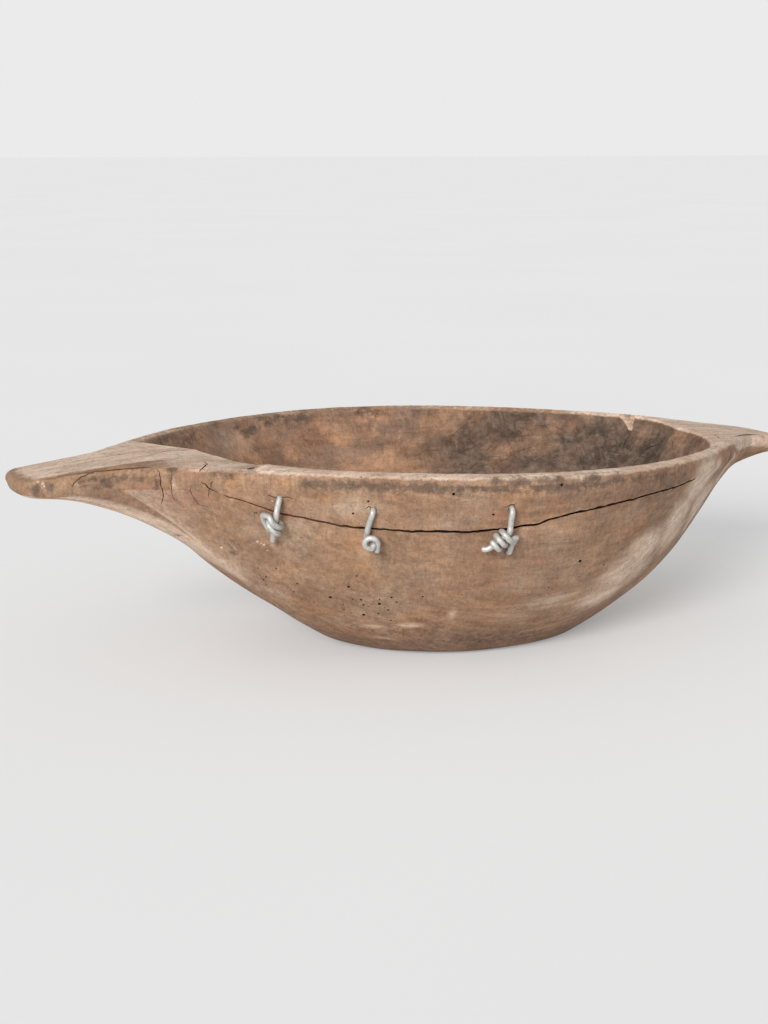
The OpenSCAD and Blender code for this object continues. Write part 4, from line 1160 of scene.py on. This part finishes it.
def gouge_lines():
    """Seeded tool marks on the far wall inside, crossing each other at the short handle's end."""
    found = []
    for _ in range(GOUGES):
        x, z = chance.uniform(60, 232), chance.uniform(88, 136)
        slope = math.radians(chance.choice((40, 52, 128, 140, 8)) + chance.uniform(-10, 10))
        half = chance.uniform(4, 13)
        y = float(np.interp(x, (60, 120, 180, 215, 235), (140, 118, 92, 62, 30)))
        run, rise = half * math.cos(slope), half * math.sin(slope)
        ends = tuple((x + side * run, y - side * run * 0.5, z + side * rise) for side in (-1, 0, 1))
        found.append((chance.uniform(0.2, 0.38), chance.uniform(0.0, 0.4), ends))
    return tuple(found)


def marked_places(name, marks):
    """Points that carry a direction, a half width and a depth each."""
    places, ways, bores, depths = zip(*marks)
    made = new_object(name, new_mesh(name, places))
    directions = made.data.attributes.new("way", "FLOAT_VECTOR", "POINT")
    directions.data.foreach_set("vector", np.array([tuple(way) for way in ways]).ravel())
    keep_numbers(made.data, bore=np.array(bores) * MM, depth=np.array(depths) * MM)
    return made


holes = []
for radius, places in WORM_HOLES:
    for place in places:
        hit, out = on_skin(place)
        tilt = Vector([chance.uniform(-WORM_TILT, WORM_TILT) for _ in range(3)])
        holes.append((hit, (out + tilt).normalized(), radius, WORM_DEPTH))
for route, bores in STITCHES.values():
    for mouth, out, depth in bores:
        middle = Vector(mouth) + Vector((HOLLOW_SHIFT, 0, 0)) - Vector(out) * depth / 2
        holes.append((middle * MM, Vector(out), WIRE_HOLE_RADIUS, depth + WIRE_HOLE_SPARE))
marks = marked_places("marks", holes)
nicks = marked_places("nicks", [(*on_skin(place), bore, depth) for bore, depth, place in NICKS])
chip_along = np.array((*CHIP_WAY, 0)) / np.hypot(*CHIP_WAY)
chip_frame = np.array([chip_along, (-chip_along[1], chip_along[0], 0), (0, 0, 1)])
chip_points = (np.array(CHIP_CORNERS) @ chip_frame + CHIP_PLACE) * MM
chip = new_object("chip", new_mesh("chip", chip_points, [(0, 2, 1), (0, 1, 3), (0, 3, 2), (1, 2, 3)]))

CHECK_JITTER, CHECK_DEPTH, CHECK_END, CHECK_UNEVEN = 0.9, 0.15, 0.3, 0.35
check_points, check_edges, check_bores, check_darks = [], [], [], []
for half_width, dark, places in CHECKS + gouge_lines():
    ends = [np.array(p, float) for p in places]
    line = smooth_line(ends, 4) if len(ends) > 2 else [mix(ends[0], ends[-1], k / 8) for k in range(9)]
    first = len(check_points)
    for k, place in enumerate(line):
        jitter = noise.noise_vector(Vector(place) * 0.35) * CHECK_JITTER
        hit, out = on_skin(np.array(place) + np.array(jitter))
        swelling = max(CHECK_END, math.sin(math.pi * k / (len(line) - 1)) ** 0.6)
        size = half_width * swelling * (1 + CHECK_UNEVEN * noise.noise(Vector(place) * 0.5))
        check_points.append(hit - out * CHECK_DEPTH * MM)
        check_bores.append(size * MM)
        check_darks.append(dark)
        if k:
            check_edges.append((first + k - 1, first + k))
checks = new_object("checks", new_mesh("checks", check_points, edges=check_edges))
keep_numbers(checks.data, bore=check_bores, dark=check_darks)

bowl_mesh.materials.append(WOOD)
bowl_piece = new_object("carved_bowl", bowl_mesh)
cutters = {"Marks": marks, "Checks": checks, "Nicks": nicks, "Chip": chip}
run_tree(bowl_piece, drill_tree(), {**cutters, "Spread": 0.18, "Seed": 5, "Material": WOOD})
bowl_piece.data.set_sharp_from_angle(angle=math.radians(50))
for helper in cutters.values():
    bpy.data.objects.remove(helper)

finder = KDTree(len(points))
for k, place in enumerate(points):
    finder.insert(place, k)
finder.balance()
for name in ("depth", "dark", "bore", "way"):
    if name in bowl_piece.data.attributes:
        bowl_piece.data.attributes.remove(bowl_piece.data.attributes[name])
nearest = [finder.find(vertex.co)[1] for vertex in bowl_piece.data.vertices]
for name, values in paint.items():
    with_centres = np.append(values, (0, 0))
    keep_numbers(bowl_piece.data, **{name: np.clip(with_centres[nearest], 0, 1)})

wires = []
sweep = wire_tree()
for name, (route, bores) in STITCHES.items():
    line = (route + (HOLLOW_SHIFT, 0, 0)) * MM
    mesh = new_mesh(f"wire_{name}", line, edges=[(k, k + 1) for k in range(len(line) - 1)])
    gone = np.concatenate([[0], np.cumsum(np.linalg.norm(np.diff(line, axis=0), axis=1))])
    from_end = np.minimum(gone, gone[-1] - gone) / (VISIBLE_RADIUS * MM)
    taper = np.sqrt(np.clip(1 - (1 - np.clip(from_end + 0.25, 0, 1)) ** 2, 0, 1))
    keep_numbers(mesh, taper=taper)
    wire = new_object(f"wire_{name}", mesh)
    shape = {"Radius": VISIBLE_RADIUS * MM, "Unevenness": 0.12, "Sides": 16}
    run_tree(wire, sweep, {**shape, "Material": WIRE})
    wires.append(wire)

# ---- Declarations ----
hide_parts("bowl")
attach(bowl_piece, "root")
for wire, node in zip(wires, ("stitch_left", "stitch_middle", "stitch_right")):
    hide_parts(node)
    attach(wire, "root")

# ---- Stage: plain pale floor, one soft lamp, camera ----
EYE = Vector((-0.6047, -1.1545, 0.3644))
LOOK_ALONG = Vector((0.4318, 0.8777, -0.2079))
LENS, CLIP_START, CLIP_END = 60.36, 0.05, 200
FLOOR_REACH = 60.0
KEY_FROM, KEY_ENERGY, KEY_ANGLE = Vector((-0.77, -0.64, 0.41)), 3.0, math.radians(23)
SKY_LEVEL, SEEN_BACKDROP = 0.55, 0.83

floor_corners = [(x * FLOOR_REACH, y * FLOOR_REACH, 0) for x, y in ((-1, -1), (1, -1), (1, 1), (-1, 1))]
floor_mesh = new_mesh("pale_floor", floor_corners, [(0, 1, 2, 3)])
floor_mesh.materials.append(PAPER)
floor = new_object("pale_floor", floor_mesh)

lamp = bpy.data.lights.new("soft_key", "SUN")
lamp.energy, lamp.angle = KEY_ENERGY, KEY_ANGLE
key = new_object("soft_key", lamp)
key.rotation_euler = KEY_FROM.to_track_quat("Z", "Y").to_euler()

world = bpy.data.worlds.new("studio")
world.use_nodes = True
n = Builder(world.node_tree)
sky = n.tree.nodes["Background"]
n.put(sky.inputs["Color"], colour(1, 1, 1))
n.put(sky.inputs["Strength"], SKY_LEVEL)
seen = n.add("ShaderNodeBackground", {"Color": colour(SEEN_BACKDROP, SEEN_BACKDROP, SEEN_BACKDROP)})
choice = n.add("ShaderNodeMixShader", {0: n.seen_directly(), 1: sky, 2: seen})
n.put(n.tree.nodes["World Output"].inputs["Surface"], choice)
bpy.context.scene.world = world

camera = new_object("camera", bpy.data.cameras.new("camera"))
camera.location = EYE
camera.rotation_euler = LOOK_ALONG.to_track_quat("-Z", "Y").to_euler()
camera.data.lens = LENS
camera.data.clip_start, camera.data.clip_end = CLIP_START, CLIP_END
bpy.context.scene.camera = camera
bpy.context.scene.view_settings.view_transform = "Standard"
